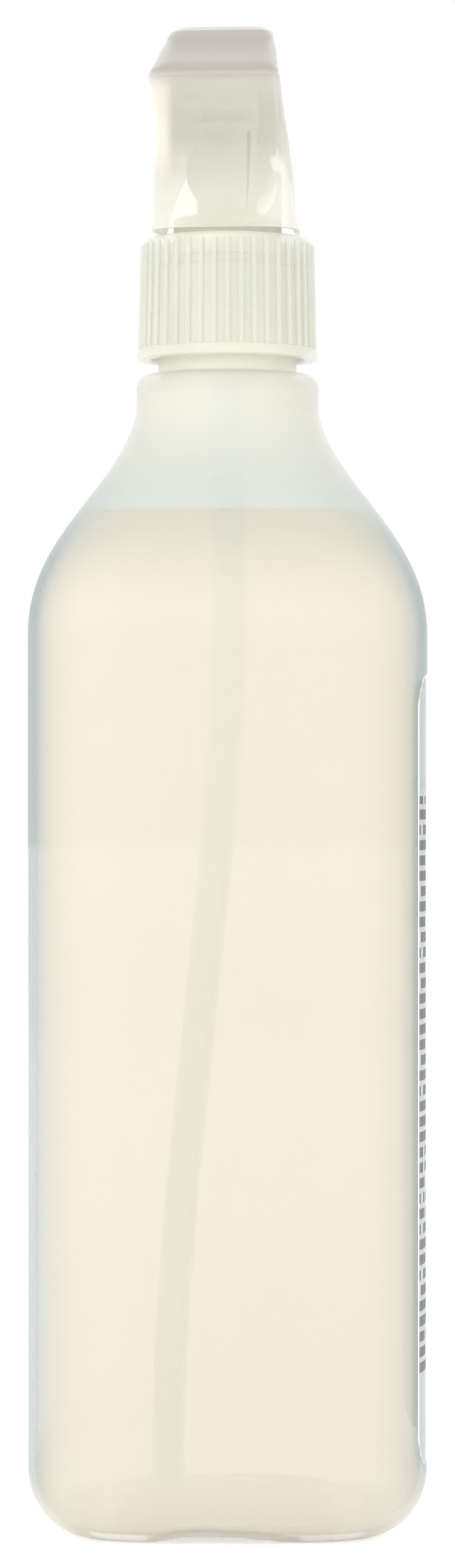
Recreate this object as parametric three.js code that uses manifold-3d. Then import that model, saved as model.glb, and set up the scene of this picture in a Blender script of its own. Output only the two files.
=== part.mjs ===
// Trigger spray bottle of glass cleaner, in millimetres, +Z up.
// The origin is the bottle's axis at the plane it stands on.
// +Y is where the nozzle points, and +X is the face with the label.

import * as THREE from "three";
import { mergeVertices, toCreasedNormals } from "three/addons/utils/BufferGeometryUtils.js";
import Module from "manifold-3d";

const wasm = await Module();
wasm.setup();

// Clearances
const SEAT_GAP = 0.3;
const FILM_GAP = 0.2;

// The spray head is turned a little to one side of the bottle, in degrees
const HEAD_TURN = -4.9;

// Bottle body
const BODY_DEPTH = 71.4;
const BODY_WIDTH = 86;
const BODY_SQUARENESS = 5.6;
const BODY_TOP = 160;
const BOTTLE_WALL = 1.2;
const BASE_CORNER_REACH = 10.6;
const BASE_CORNER_RISE = 12;
const FOOT_WIDTH = 5;
const PUSH_UP_HEIGHT = 4;
const PINCH_LEFT = 13.8;
const PINCH_RIGHT = 12.5;
const PINCH_APEX = -4.9;
const PINCH_HEIGHT = 1.7;

// Shoulder, collar and neck
const SHOULDER_RISE = 41;
const SHOULDER_LOWER_PULL = 0.431;
const SHOULDER_UPPER_PULL = 0.659;
const SHOULDER_UPPER_SPREAD = 0.155;
const COLLAR_RADIUS = 16.6;
const COLLAR_HEIGHT = 6.8;
const COLLAR_EDGE = 2.4;
const NECK_RADIUS = 12.6;
const NECK_BORE = 10.7;
const NECK_HEIGHT = 19.5;

// Label and its recessed panel
const LABEL_WIDTH = 67;
const LABEL_BOTTOM = 13;
const LABEL_TOP = 152;
const LABEL_CORNER = 6;
const LABEL_FILM = 0.2;
const PANEL_DEPTH = 0.6;
const PANEL_MARGIN = 0.6;

// Liquid
const FILL_LEVEL = 181.8;

// Closure
const CLOSURE_LIFT = 2.6;
const CLOSURE_RADIUS = 16.1;
const CLOSURE_TAPER = 0.4;
const CLOSURE_BORE = 14.1;
const CLOSURE_EDGE = 1.2;
const SKIRT_RADIUS = 16.35;
const SKIRT_HEIGHT = 2;
const LIP_THICKNESS = 1.7;
const LIP_HOLE = 11;
const RIB_COUNT = 40;
const RIB_DEPTH = 0.5;

// Gasket and pump base
const GASKET_THICKNESS = 1.2;
const GASKET_WIDTH = 2.9;
const PUMP_FLANGE_THICKNESS = 1.5;
const PUMP_NECK_RADIUS = 9.9;
const PUMP_NECK_HEIGHT = 7;
const PUMP_SOCKET_RADIUS = 5.2;
const PUMP_SOCKET_DEPTH = 6.2;

// Riser, cylinder and barrel
const RISER_RADIUS = 5.5;
const PORT_RADIUS = 1.2;
const CYLINDER_HEIGHT = 245;
const CYLINDER_RADIUS = 7.6;
const CYLINDER_BORE = 6.4;
const CYLINDER_BOTTOM = 2.5;
const CYLINDER_FRONT = 20;
const BARREL_HEIGHT = 258.5;
const BARREL_RADIUS = 3.2;
const BARREL_FRONT = 41.3;
const BARREL_SOCKET_RADIUS = 2.2;
const BARREL_SOCKET_DEPTH = 7.3;
const TRUNNION_Y = 27;
const TRUNNION_RADIUS = 1.7;
const TRUNNION_REACH = 6;
const LATCH_Y = -13;
const LATCH_HEIGHT = 253.5;
const LATCH_WIDTH = 13.3;
const LATCH_RISE = 5.3;
const LATCH_BAR = 1.2;

// Tube retainer, ball and dip tube
const RETAINER_FLANGE_RADIUS = 8.5;
const RETAINER_FLANGE_THICKNESS = 1.5;
const RETAINER_SLEEVE = 6.3;
const RETAINER_WALL = 1.15;
const BALL_RADIUS = 2;
const BALL_SEAT_RADIUS = 1.6;
const BALL_SEAT_LENGTH = 3.5;
const BALL_CHAMBER_RADIUS = 2.6;
const TUBE_RADIUS = 2.95;
const TUBE_BORE = 2.15;
const TUBE_END = 6;
const TUBE_LEAN = 11;

// Piston and return spring
const PISTON_ROD_RADIUS = 2.6;
const PISTON_END = 30;
const PISTON_COLLAR_RADIUS = 5.4;
const PISTON_COLLAR_THICKNESS = 1.7;
const PISTON_SPIGOT_RADIUS = 4;
const SEAL_THICKNESS = 2.7;
const SPRING_RADIUS = 3;
const SPRING_WIRE = 0.9;
const SPRING_TURNS = 4;
const SPRING_LENGTH = 9.2;

// Trigger
const TRIGGER_WIDTH = 15;
const TRIGGER_THICKNESS = 2.2;
const CHEEK_INSIDE = 3.9;
const CHEEK_THICKNESS = 1.7;
const CHEEK_BOSS_RADIUS = 3.9;
const TRIGGER_PAD_RADIUS = 1.7;
const TRIGGER_TIP_DROP = 46.5;

// Nozzle
const NOZZLE_SIDE = 13;
const NOZZLE_CORNER = 3;
const NOZZLE_REAR = 36.5;
const NOZZLE_LENGTH = 8.5;
const NOZZLE_BEVEL = 0.8;
const NOZZLE_ORIFICE = 0.6;
const NOZZLE_SEAL_THICKNESS = 0.7;

// Shroud
const SHROUD_WALL = 1.2;
const SHROUD_BOTTOM = 233.6;
const SHROUD_FRONT = 36;
const SHROUD_BROW = 252.4;
const SHROUD_CORNER = 2.6;

// Fineness of round forms
const RING_POINTS = 36;
const CORNER_POINTS = 3;
const ROUND = 24;
const SMALL_ROUND = 16;
const CREASE_ANGLE = 0.6;

// Heights that follow from the sizes above
const SHOULDER_TOP = BODY_TOP + SHOULDER_RISE;
const COLLAR_TOP = SHOULDER_TOP + COLLAR_HEIGHT;
const NECK_TOP = COLLAR_TOP + NECK_HEIGHT;
const GASKET_BOTTOM = NECK_TOP + SEAT_GAP;
const GASKET_TOP = GASKET_BOTTOM + GASKET_THICKNESS;
const PUMP_BOTTOM = GASKET_TOP + SEAT_GAP;
const PUMP_FLANGE_TOP = PUMP_BOTTOM + PUMP_FLANGE_THICKNESS;
const LIP_BOTTOM = PUMP_FLANGE_TOP + SEAT_GAP;
const CLOSURE_TOP = LIP_BOTTOM + LIP_THICKNESS;
const CLOSURE_BOTTOM = COLLAR_TOP + CLOSURE_LIFT;
const RISER_TOP = BARREL_HEIGHT + BARREL_RADIUS - 0.5;

const X_AXIS = new THREE.Vector3(1, 0, 0);
const Y_AXIS = new THREE.Vector3(0, 1, 0);
const Z_AXIS = new THREE.Vector3(0, 0, 1);

/** Turns a closed three.js geometry into a solid that can be cut and joined. */
function solidOf(geometry) {
  const bare = geometry.index ? geometry.toNonIndexed() : geometry.clone();
  bare.deleteAttribute("normal");
  bare.deleteAttribute("uv");
  const merged = mergeVertices(bare, 1e-4);
  return new wasm.Manifold(
    new wasm.Mesh({
      numProp: 3,
      vertProperties: merged.attributes.position.array,
      triVerts: new Uint32Array(merged.index.array),
    }),
  );
}

/** Skins a stack of rings that have the same number of points, and closes both ends. */
function loft(rings) {
  const count = rings[0].length;
  const vertices = rings.flat();
  const bottom = vertices.length;
  const top = bottom + 1;
  vertices.push(centreOf(rings[0]), centreOf(rings.at(-1)));
  const lastRing = (rings.length - 1) * count;
  const faces = [];
  for (let i = 0; i < count; i++) {
    const j = (i + 1) % count;
    faces.push(bottom, j, i, top, lastRing + i, lastRing + j);
    for (let start = 0; start < lastRing; start += count) {
      faces.push(start + i, start + j, start + count + j);
      faces.push(start + i, start + count + j, start + count + i);
    }
  }
  return solidOf(new THREE.BufferGeometry().setFromPoints(vertices).setIndex(faces));
}

function centreOf(points) {
  const sum = points.reduce((total, point) => total.add(point), new THREE.Vector3());
  return sum.divideScalar(points.length);
}

/** One level of the bottle: a superellipse, round at squareness 2 and boxier above it. */
function ring(halfDepth, halfWidth, squareness, z) {
  return Array.from({ length: RING_POINTS }, (_, i) => {
    const angle = (i / RING_POINTS) * 2 * Math.PI;
    const across = Math.cos(angle);
    const along = Math.sin(angle);
    return new THREE.Vector3(
      halfDepth * Math.sign(across) * Math.abs(across) ** (2 / squareness),
      halfWidth * Math.sign(along) * Math.abs(along) ** (2 / squareness),
      z,
    );
  });
}

function roundRing(radius, z) {
  return ring(radius, radius, 2, z);
}

/** Revolves a closed profile of [radius, z] pairs, listed counter-clockwise, about Z. */
function revolve(profile, segments = ROUND) {
  const points = profile.map(([radius, z]) => new THREE.Vector2(radius, z));
  points.push(points[0].clone());
  return solidOf(new THREE.LatheGeometry(points, segments).rotateX(Math.PI / 2));
}

/** A rod along an axis, from one station to the other, through the given centre. */
function rod(axis, radius, from, to, centre = new THREE.Vector3(), segments = ROUND) {
  const geometry = new THREE.CylinderGeometry(radius, radius, to - from, segments);
  geometry.applyQuaternion(new THREE.Quaternion().setFromUnitVectors(Y_AXIS, axis));
  const middle = axis.clone().multiplyScalar((from + to) / 2).add(centre);
  return solidOf(geometry.translate(middle.x, middle.y, middle.z));
}

function box(lowX, highX, lowY, highY, lowZ, highZ) {
  const geometry = new THREE.BoxGeometry(highX - lowX, highY - lowY, highZ - lowZ);
  return solidOf(
    geometry.translate((lowX + highX) / 2, (lowY + highY) / 2, (lowZ + highZ) / 2),
  );
}

/** Extrudes an outline of (y, z) points along X. */
function sidePrism(outline, from, to) {
  const geometry = new THREE.ExtrudeGeometry(new THREE.Shape(outline), {
    depth: to - from,
    bevelEnabled: false,
  });
  geometry.applyMatrix4(new THREE.Matrix4().makeBasis(Y_AXIS, Z_AXIS, X_AXIS));
  return solidOf(geometry.translate(from, 0, 0));
}

/** Extrudes an outline of (x, z) points along Y. */
function frontPrism(outline, from, to) {
  const geometry = new THREE.ExtrudeGeometry(new THREE.Shape(outline), {
    depth: to - from,
    bevelEnabled: false,
  });
  const backwards = Y_AXIS.clone().negate();
  geometry.applyMatrix4(new THREE.Matrix4().makeBasis(X_AXIS, Z_AXIS, backwards));
  return solidOf(geometry.translate(0, to, 0));
}

function roundedRectangle(lowX, lowY, highX, highY, corner, steps = 6) {
  const path = new THREE.Path();
  path.absarc(highX - corner, highY - corner, corner, 0, Math.PI / 2);
  path.absarc(lowX + corner, highY - corner, corner, Math.PI / 2, Math.PI);
  path.absarc(lowX + corner, lowY + corner, corner, Math.PI, Math.PI * 1.5);
  path.absarc(highX - corner, lowY + corner, corner, Math.PI * 1.5, Math.PI * 2);
  return openPoints(path, steps);
}

/** The points of a closed path, without its repeats. */
function openPoints(path, steps) {
  const points = path.getPoints(steps);
  return points.filter((point, i) => point.distanceTo(points.at(i - 1)) > 1e-6);
}

function mirrored(solid) {
  return solid.mirror([1, 0, 0]);
}

/** The bottle's skin from the foot to the collar, moved inwards by the inset. */
function bodyRings(inset) {
  const halfDepth = BODY_DEPTH / 2 - inset;
  const halfWidth = BODY_WIDTH / 2 - inset;
  const collar = COLLAR_RADIUS - inset;
  const reach = BASE_CORNER_REACH - inset;
  const rise = BASE_CORNER_RISE - inset;
  const rings = [];
  const cornerSteps = 5;
  for (let i = 0; i <= cornerSteps; i++) {
    const angle = (i / cornerSteps) * (Math.PI / 2);
    const drawnIn = reach * (1 - Math.sin(angle));
    const z = inset + rise * (1 - Math.cos(angle));
    rings.push(ring(halfDepth - drawnIn, halfWidth - drawnIn, BODY_SQUARENESS, z));
  }
  const shoulder = new THREE.CubicBezierCurve(
    new THREE.Vector2(1, 0),
    new THREE.Vector2(1, SHOULDER_LOWER_PULL),
    new THREE.Vector2(SHOULDER_UPPER_SPREAD, SHOULDER_UPPER_PULL),
    new THREE.Vector2(0, 1),
  );
  for (const { x: spread, y: height } of shoulder.getPoints(9)) {
    rings.push(
      ring(
        collar + (halfDepth - collar) * spread,
        collar + (halfWidth - collar) * spread,
        2 + (BODY_SQUARENESS - 2) * spread,
        BODY_TOP + SHOULDER_RISE * height,
      ),
    );
  }
  return rings;
}

/** The rounded upper edge of the collar, and the ledge that runs in to the neck. */
function collarRings() {
  const rings = [];
  const steps = 3;
  for (let i = 0; i <= steps; i++) {
    const angle = (i / steps) * (Math.PI / 2);
    const radius = COLLAR_RADIUS - COLLAR_EDGE * (1 - Math.cos(angle));
    rings.push(roundRing(radius, COLLAR_TOP - COLLAR_EDGE * (1 - Math.sin(angle))));
  }
  return rings;
}

/** The space inside the bottle, or one that is smaller all round by the extra inset. */
function bottleCavity(extra = 0) {
  const inset = BOTTLE_WALL + extra;
  const rings = bodyRings(inset);
  const collar = COLLAR_RADIUS - inset;
  const bore = NECK_BORE - extra;
  rings.push(roundRing(collar, COLLAR_TOP - inset - (collar - bore) / 2));
  rings.push(roundRing(bore, COLLAR_TOP - inset + (collar - bore) / 2));
  rings.push(roundRing(bore, NECK_TOP + 1));
  return loft(rings).subtract(pushUp(inset)).subtract(pinchOff(inset));
}

/** The shallow dome pressed up into the base, thickened by the given wall. */
function pushUp(wall = 0) {
  const inset = BASE_CORNER_REACH + FOOT_WIDTH - wall;
  const halfDepth = BODY_DEPTH / 2 - inset;
  const halfWidth = BODY_WIDTH / 2 - inset;
  const height = PUSH_UP_HEIGHT + wall;
  const rings = [ring(halfDepth, halfWidth, BODY_SQUARENESS, -1)];
  const steps = 4;
  for (let i = 0; i <= steps; i++) {
    const angle = (i / steps) * 1.4;
    const share = Math.cos(angle);
    const squareness = 2 + (BODY_SQUARENESS - 2) * share;
    const z = (height * Math.sin(angle)) / Math.sin(1.4);
    rings.push(ring(halfDepth * share, halfWidth * share, squareness, z));
  }
  return loft(rings);
}

/** The shallow channel along the mould's parting line, across the whole base. */
function pinchOff(wall = 0) {
  const left = -PINCH_LEFT - wall;
  const right = PINCH_RIGHT + wall;
  const height = PINCH_HEIGHT + wall;
  const path = new THREE.Path();
  path.moveTo(left, -1);
  path.lineTo(left, 0);
  path.bezierCurveTo(left * 0.7, height * 0.8, PINCH_APEX - 4, height, PINCH_APEX, height);
  path.bezierCurveTo(PINCH_APEX + 4, height, right * 0.7, height * 0.7, right, 0);
  path.lineTo(right, -1);
  return frontPrism(openPoints(path, 5), -BODY_WIDTH / 2, BODY_WIDTH / 2);
}

/** A rounded rectangle on the labelled face, wider than the label by the margin. */
function panelPrism(margin) {
  const half = LABEL_WIDTH / 2 + margin;
  const outline = roundedRectangle(
    -half,
    LABEL_BOTTOM - margin,
    half,
    LABEL_TOP + margin,
    LABEL_CORNER + margin,
  );
  return sidePrism(outline, BODY_DEPTH / 2 - 4, BODY_DEPTH / 2 + 4);
}

function makeBottle() {
  const skin = loft([...bodyRings(0), ...collarRings(), roundRing(NECK_RADIUS, COLLAR_TOP)]);
  const neck = rod(Z_AXIS, NECK_RADIUS, COLLAR_TOP - 1, NECK_TOP, undefined, RING_POINTS);
  const panel = panelPrism(PANEL_MARGIN).subtract(loft(bodyRings(PANEL_DEPTH)));
  return skin
    .add(neck)
    .subtract(bottleCavity())
    .subtract(pushUp())
    .subtract(pinchOff())
    .subtract(panel);
}

function makeLabel() {
  const back = PANEL_DEPTH - FILM_GAP;
  const face = back - LABEL_FILM;
  return panelPrism(0).intersect(loft(bodyRings(face))).subtract(loft(bodyRings(back)));
}

/** The tube hangs from the retainer and bends a little to one side on its way down. */
function tubePath() {
  return new THREE.CatmullRomCurve3([
    new THREE.Vector3(0, 0, retainerShoulder() - SEAT_GAP),
    new THREE.Vector3(0, 0, 200),
    new THREE.Vector3(0.5, 0, 165),
    new THREE.Vector3(-0.8, 0, 135),
    new THREE.Vector3(-0.42 * TUBE_LEAN, 0, 95),
    new THREE.Vector3(-0.78 * TUBE_LEAN, 0, 55),
    new THREE.Vector3(-0.96 * TUBE_LEAN, 0, 25),
    new THREE.Vector3(-TUBE_LEAN, 0, TUBE_END),
  ]);
}

function alongTube(radius, bore) {
  const section = new THREE.Shape().absarc(0, 0, radius, 0, Math.PI * 2);
  if (bore > 0) section.holes.push(new THREE.Path().absarc(0, 0, bore, 0, Math.PI * 2));
  return solidOf(
    new THREE.ExtrudeGeometry(section, {
      steps: 15,
      curveSegments: 6,
      bevelEnabled: false,
      extrudePath: tubePath(),
    }),
  );
}

function makeLiquid() {
  const half = BODY_WIDTH;
  const below = box(-half, half, -half, half, -1, FILL_LEVEL);
  const flooded = rod(
    Z_AXIS,
    TUBE_RADIUS + SEAT_GAP,
    0,
    TUBE_END + 1,
    new THREE.Vector3(-TUBE_LEAN, 0, 0),
    14,
  );
  return bottleCavity(SEAT_GAP)
    .intersect(below)
    .subtract(alongTube(TUBE_RADIUS + SEAT_GAP, 0))
    .subtract(flooded);
}

/** One level of the closure's ribbed wall: flat-topped ribs, four points to each. */
function ribbedRing(crest, depth, z) {
  const shares = [
    [0.1, 0],
    [0.3, 1],
    [0.7, 1],
    [0.9, 0],
  ];
  const points = [];
  for (let rib = 0; rib < RIB_COUNT; rib++) {
    for (const [share, raised] of shares) {
      const angle = ((rib + share) / RIB_COUNT) * 2 * Math.PI;
      const radius = crest - depth * (1 - raised);
      points.push(new THREE.Vector3(radius * Math.cos(angle), radius * Math.sin(angle), z));
    }
  }
  return points;
}

function makeClosure() {
  const top = CLOSURE_RADIUS - CLOSURE_TAPER;
  const wall = loft([
    ribbedRing(CLOSURE_RADIUS, RIB_DEPTH, CLOSURE_BOTTOM + SKIRT_HEIGHT - 0.3),
    ribbedRing(top, RIB_DEPTH, CLOSURE_TOP - CLOSURE_EDGE),
    ribbedRing(top - CLOSURE_EDGE * 0.3, RIB_DEPTH * 0.4, CLOSURE_TOP - CLOSURE_EDGE * 0.3),
    ribbedRing(top - CLOSURE_EDGE, 0, CLOSURE_TOP),
  ]);
  const skirt = rod(
    Z_AXIS,
    SKIRT_RADIUS,
    CLOSURE_BOTTOM,
    CLOSURE_BOTTOM + SKIRT_HEIGHT,
    undefined,
    RING_POINTS,
  );
  return wall
    .add(skirt)
    .subtract(rod(Z_AXIS, CLOSURE_BORE, CLOSURE_BOTTOM - 1, LIP_BOTTOM))
    .subtract(rod(Z_AXIS, LIP_HOLE, CLOSURE_BOTTOM, CLOSURE_TOP + 1));
}

function makeGasket() {
  return revolve([
    [NECK_RADIUS - GASKET_WIDTH, GASKET_BOTTOM],
    [NECK_RADIUS, GASKET_BOTTOM],
    [NECK_RADIUS, GASKET_TOP],
    [NECK_RADIUS - GASKET_WIDTH, GASKET_TOP],
  ]);
}

/** Where the top of the dip tube would meet the retainer's inner step. */
function retainerShoulder() {
  return GASKET_TOP - RETAINER_FLANGE_THICKNESS + 0.2;
}

function makeRetainer() {
  const socket = TUBE_RADIUS + SEAT_GAP;
  const flangeBottom = GASKET_TOP - RETAINER_FLANGE_THICKNESS;
  const spigot = PUMP_SOCKET_RADIUS - SEAT_GAP;
  const top = PUMP_BOTTOM + PUMP_SOCKET_DEPTH - SEAT_GAP;
  const seat = retainerShoulder() + BALL_SEAT_LENGTH;
  return revolve([
    [socket, flangeBottom - RETAINER_SLEEVE],
    [socket + RETAINER_WALL, flangeBottom - RETAINER_SLEEVE],
    [socket + RETAINER_WALL, flangeBottom],
    [RETAINER_FLANGE_RADIUS, flangeBottom],
    [RETAINER_FLANGE_RADIUS, GASKET_TOP],
    [spigot, GASKET_TOP],
    [spigot, top],
    [BALL_CHAMBER_RADIUS, top],
    [BALL_CHAMBER_RADIUS, seat],
    [BALL_SEAT_RADIUS, seat],
    [BALL_SEAT_RADIUS, retainerShoulder()],
    [socket, retainerShoulder()],
  ]);
}

/** The ball lies on the rim of the port below it. */
function makeBall() {
  const seat = retainerShoulder() + BALL_SEAT_LENGTH;
  const clear = BALL_RADIUS + 0.1;
  const rise = Math.sqrt(clear ** 2 - BALL_SEAT_RADIUS ** 2);
  return solidOf(new THREE.SphereGeometry(BALL_RADIUS, 16, 10).translate(0, 0, seat + rise));
}

/** The frame behind the riser that the shroud's rear wall snaps over. */
function makeLatch() {
  const half = LATCH_WIDTH / 2;
  const low = LATCH_HEIGHT - LATCH_RISE / 2;
  const high = LATCH_HEIGHT + LATCH_RISE / 2;
  const plate = box(-half, half, LATCH_Y, LATCH_Y + LATCH_BAR, low, high);
  const bar = LATCH_BAR + 0.3;
  const window = box(
    bar - half,
    half - bar,
    LATCH_Y - 1,
    LATCH_Y + LATCH_BAR + 1,
    low + bar,
    high - bar,
  );
  const armHalf = LATCH_BAR / 2;
  const armX = RISER_RADIUS - armHalf - 0.4;
  const arm = box(
    armX - armHalf,
    armX + armHalf,
    LATCH_Y + LATCH_BAR / 2,
    0,
    LATCH_HEIGHT - bar,
    LATCH_HEIGHT + bar,
  );
  return plate.subtract(window).add(arm).add(mirrored(arm));
}

function makePumpBody() {
  const barrel = new THREE.Vector3(0, 0, BARREL_HEIGHT);
  const cylinder = new THREE.Vector3(0, 0, CYLINDER_HEIGHT);
  const trunnion = new THREE.Vector3(0, TRUNNION_Y, BARREL_HEIGHT);
  const flangeRadius = NECK_RADIUS - 0.2;
  const socketTop = PUMP_BOTTOM + PUMP_SOCKET_DEPTH;
  const web = sidePrism(
    [
      new THREE.Vector2(0, PUMP_BOTTOM + PUMP_NECK_HEIGHT - 1),
      new THREE.Vector2(CYLINDER_FRONT - 4, CYLINDER_HEIGHT - CYLINDER_RADIUS + 0.5),
      new THREE.Vector2(CYLINDER_FRONT - 1, BARREL_HEIGHT),
      new THREE.Vector2(0, BARREL_HEIGHT),
    ],
    -1,
    1,
  );
  const shoulderReach = CHEEK_INSIDE - SEAT_GAP;
  return rod(Z_AXIS, flangeRadius, PUMP_BOTTOM, PUMP_FLANGE_TOP)
    .add(rod(Z_AXIS, PUMP_NECK_RADIUS, PUMP_BOTTOM, PUMP_BOTTOM + PUMP_NECK_HEIGHT))
    .add(rod(Z_AXIS, RISER_RADIUS + 1.5, PUMP_BOTTOM, socketTop + 1.5))
    .add(rod(Z_AXIS, RISER_RADIUS, PUMP_BOTTOM, RISER_TOP))
    .add(rod(Y_AXIS, CYLINDER_RADIUS, 0, CYLINDER_FRONT, cylinder))
    .add(rod(Y_AXIS, BARREL_RADIUS, 0, BARREL_FRONT, barrel))
    .add(web)
    .add(rod(X_AXIS, TRUNNION_RADIUS, -TRUNNION_REACH, TRUNNION_REACH, trunnion, SMALL_ROUND))
    .add(rod(X_AXIS, TRUNNION_RADIUS + 0.8, -shoulderReach, shoulderReach, trunnion, SMALL_ROUND))
    .add(makeLatch())
    .subtract(rod(Y_AXIS, CYLINDER_BORE, CYLINDER_BOTTOM, CYLINDER_FRONT + 1, cylinder))
    .subtract(rod(Y_AXIS, PORT_RADIUS, 0, CYLINDER_BOTTOM + 1, cylinder, SMALL_ROUND))
    .subtract(rod(Y_AXIS, PORT_RADIUS, 0, BARREL_FRONT + 1, barrel, SMALL_ROUND))
    .subtract(
      rod(
        Y_AXIS,
        BARREL_SOCKET_RADIUS,
        BARREL_FRONT - BARREL_SOCKET_DEPTH,
        BARREL_FRONT + 1,
        barrel,
        SMALL_ROUND,
      ),
    )
    .subtract(rod(Z_AXIS, PORT_RADIUS, PUMP_BOTTOM, BARREL_HEIGHT, undefined, SMALL_ROUND))
    .subtract(rod(Z_AXIS, PUMP_SOCKET_RADIUS, PUMP_BOTTOM - 1, socketTop));
}

/** The seal's front face, which the piston's collar presses on. */
function sealFront() {
  return springFront() + SEAT_GAP + SEAL_THICKNESS;
}

function springFront() {
  return CYLINDER_BOTTOM + SEAT_GAP + SPRING_LENGTH;
}

function makePiston() {
  const axis = new THREE.Vector3(0, 0, CYLINDER_HEIGHT);
  const collarRear = sealFront() + SEAT_GAP;
  const collarFront = collarRear + PISTON_COLLAR_THICKNESS;
  const spigotRear = springFront() + SEAT_GAP;
  return rod(Y_AXIS, PISTON_SPIGOT_RADIUS, spigotRear, collarFront, axis)
    .add(rod(Y_AXIS, PISTON_COLLAR_RADIUS, collarRear, collarFront, axis))
    .add(rod(Y_AXIS, PISTON_ROD_RADIUS, collarRear, PISTON_END, axis, SMALL_ROUND));
}

function makePistonSeal() {
  const axis = new THREE.Vector3(0, 0, CYLINDER_HEIGHT);
  const rear = springFront() + SEAT_GAP;
  const outside = rod(Y_AXIS, CYLINDER_BORE - SEAT_GAP, rear, sealFront(), axis);
  const hole = rod(Y_AXIS, PISTON_SPIGOT_RADIUS + SEAT_GAP, rear - 1, sealFront() + 1, axis);
  return outside.subtract(hole);
}

class Helix extends THREE.Curve {
  constructor(radius, length, turns) {
    super();
    this.radius = radius;
    this.length = length;
    this.turns = turns;
  }
  getPoint(t, target = new THREE.Vector3()) {
    const angle = t * this.turns * 2 * Math.PI;
    const x = this.radius * Math.cos(angle);
    const z = this.radius * Math.sin(angle);
    return target.set(x, this.length * t, z);
  }
}

function makeSpring() {
  const wire = new THREE.Shape().absarc(0, 0, SPRING_WIRE / 2, 0, Math.PI * 2);
  const geometry = new THREE.ExtrudeGeometry(wire, {
    steps: SPRING_TURNS * 12,
    curveSegments: 3,
    bevelEnabled: false,
    extrudePath: new Helix(SPRING_RADIUS, SPRING_LENGTH - SPRING_WIRE * 1.2, SPRING_TURNS),
  });
  const rear = CYLINDER_BOTTOM + SEAT_GAP + SPRING_WIRE * 0.6;
  return solidOf(geometry.translate(0, rear, CYLINDER_HEIGHT));
}

/** The curved lever that the fingers pull, as a strip seen from the side. */
function leverOutline() {
  const front = [
    [7, -9],
    [8.6, -15],
    [8.2, -24.5],
    [9, -35.5],
    [12.5, -TRIGGER_TIP_DROP],
  ];
  const points = front.map(([y, z]) => new THREE.Vector2(TRUNNION_Y + y, BARREL_HEIGHT + z));
  const curve = new THREE.SplineCurve(points).getPoints(14);
  const back = curve.map((point, i) => {
    const ahead = curve[Math.min(i + 1, curve.length - 1)];
    const behind = curve[Math.max(i - 1, 0)];
    const along = ahead.clone().sub(behind).normalize();
    const rearwards = new THREE.Vector2(along.y, -along.x);
    return point.clone().addScaledVector(rearwards, TRIGGER_THICKNESS);
  });
  return [...curve, ...back.reverse()];
}

/** The flat cheek that carries the pivot boss and stiffens the lever. */
function cheekOutline() {
  const corners = [
    [-3.2, -2.6],
    [2.2, -14],
    [3.4, -22],
    [6.6, -33],
    [7.6, -33],
    [7.6, -14.5],
    [6.6, -6],
    [4, 1.2],
    [0, 2],
  ];
  return corners.map(([y, z]) => new THREE.Vector2(TRUNNION_Y + y, BARREL_HEIGHT + z));
}

function makeTrigger() {
  const pivot = new THREE.Vector3(0, TRUNNION_Y, BARREL_HEIGHT);
  const outside = CHEEK_INSIDE + CHEEK_THICKNESS;
  const cheek = sidePrism(cheekOutline(), CHEEK_INSIDE, outside).add(
    rod(X_AXIS, CHEEK_BOSS_RADIUS, CHEEK_INSIDE, outside, pivot, SMALL_ROUND),
  );
  const padY = PISTON_END + SEAT_GAP + TRIGGER_PAD_RADIUS;
  const padCentre = new THREE.Vector3(0, padY, CYLINDER_HEIGHT);
  return sidePrism(leverOutline(), -TRIGGER_WIDTH / 2, TRIGGER_WIDTH / 2)
    .add(cheek)
    .add(mirrored(cheek))
    .add(rod(X_AXIS, TRIGGER_PAD_RADIUS, -outside + 0.5, outside - 0.5, padCentre, SMALL_ROUND))
    .subtract(rod(X_AXIS, TRUNNION_RADIUS + SEAT_GAP, -outside - 1, outside + 1, pivot, SMALL_ROUND));
}

/**
 * Levels of the shroud from its skirt to its ridge: height, rear and front ends, and the
 * half-width at each end. The rear wall runs up to a saddle and flares into a tail.
 */
const SHROUD_LEVELS = [
  [SHROUD_BOTTOM, -11.5, 11, 13.8, 12.9],
  [236, -11.3, 12.5, 13.5, 12.4],
  [240, -11.1, 16, 13.2, 11.6],
  [244, -11.3, 20, 12.9, 10.9],
  [247.3, -13, 24.5, 12.5, 9.8],
  [250, -15.4, 29, 12.3, 8.8],
  [SHROUD_BROW, -18, SHROUD_FRONT, 12, 7.4],
  [254, -20.6, SHROUD_FRONT, 11.9, 7.1],
  [255.9, -25, SHROUD_FRONT, 11.9, 6.9],
  [258.1, -31.4, SHROUD_FRONT, 12, 6.8],
  [259.8, -29.2, SHROUD_FRONT, 11.6, 6.8],
  [263.9, -22, SHROUD_FRONT, 10.8, 6.8],
  [266.3, -18.2, SHROUD_FRONT - 0.4, 10.1, 6.8],
  [266.9, -17.5, 30, 9.9, 7],
  [268.2, -16, 6, 9.6, 8.3],
  [269.2, -14, -8, 8.6, 8],
];

/** The level at any height, between the two listed ones. */
function shroudLevel(z) {
  const clamped = THREE.MathUtils.clamp(z, SHROUD_BOTTOM, SHROUD_LEVELS.at(-1)[0]);
  const upper = SHROUD_LEVELS.findIndex((level) => level[0] >= clamped);
  const above = SHROUD_LEVELS[Math.max(upper, 1)];
  const below = SHROUD_LEVELS[Math.max(upper, 1) - 1];
  const share = (clamped - below[0]) / (above[0] - below[0]);
  const [, rear, front, rearHalf, frontHalf] = above.map(
    (value, i) => below[i] + (value - below[i]) * share,
  );
  return { rear, front, rearHalf, frontHalf };
}

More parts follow.
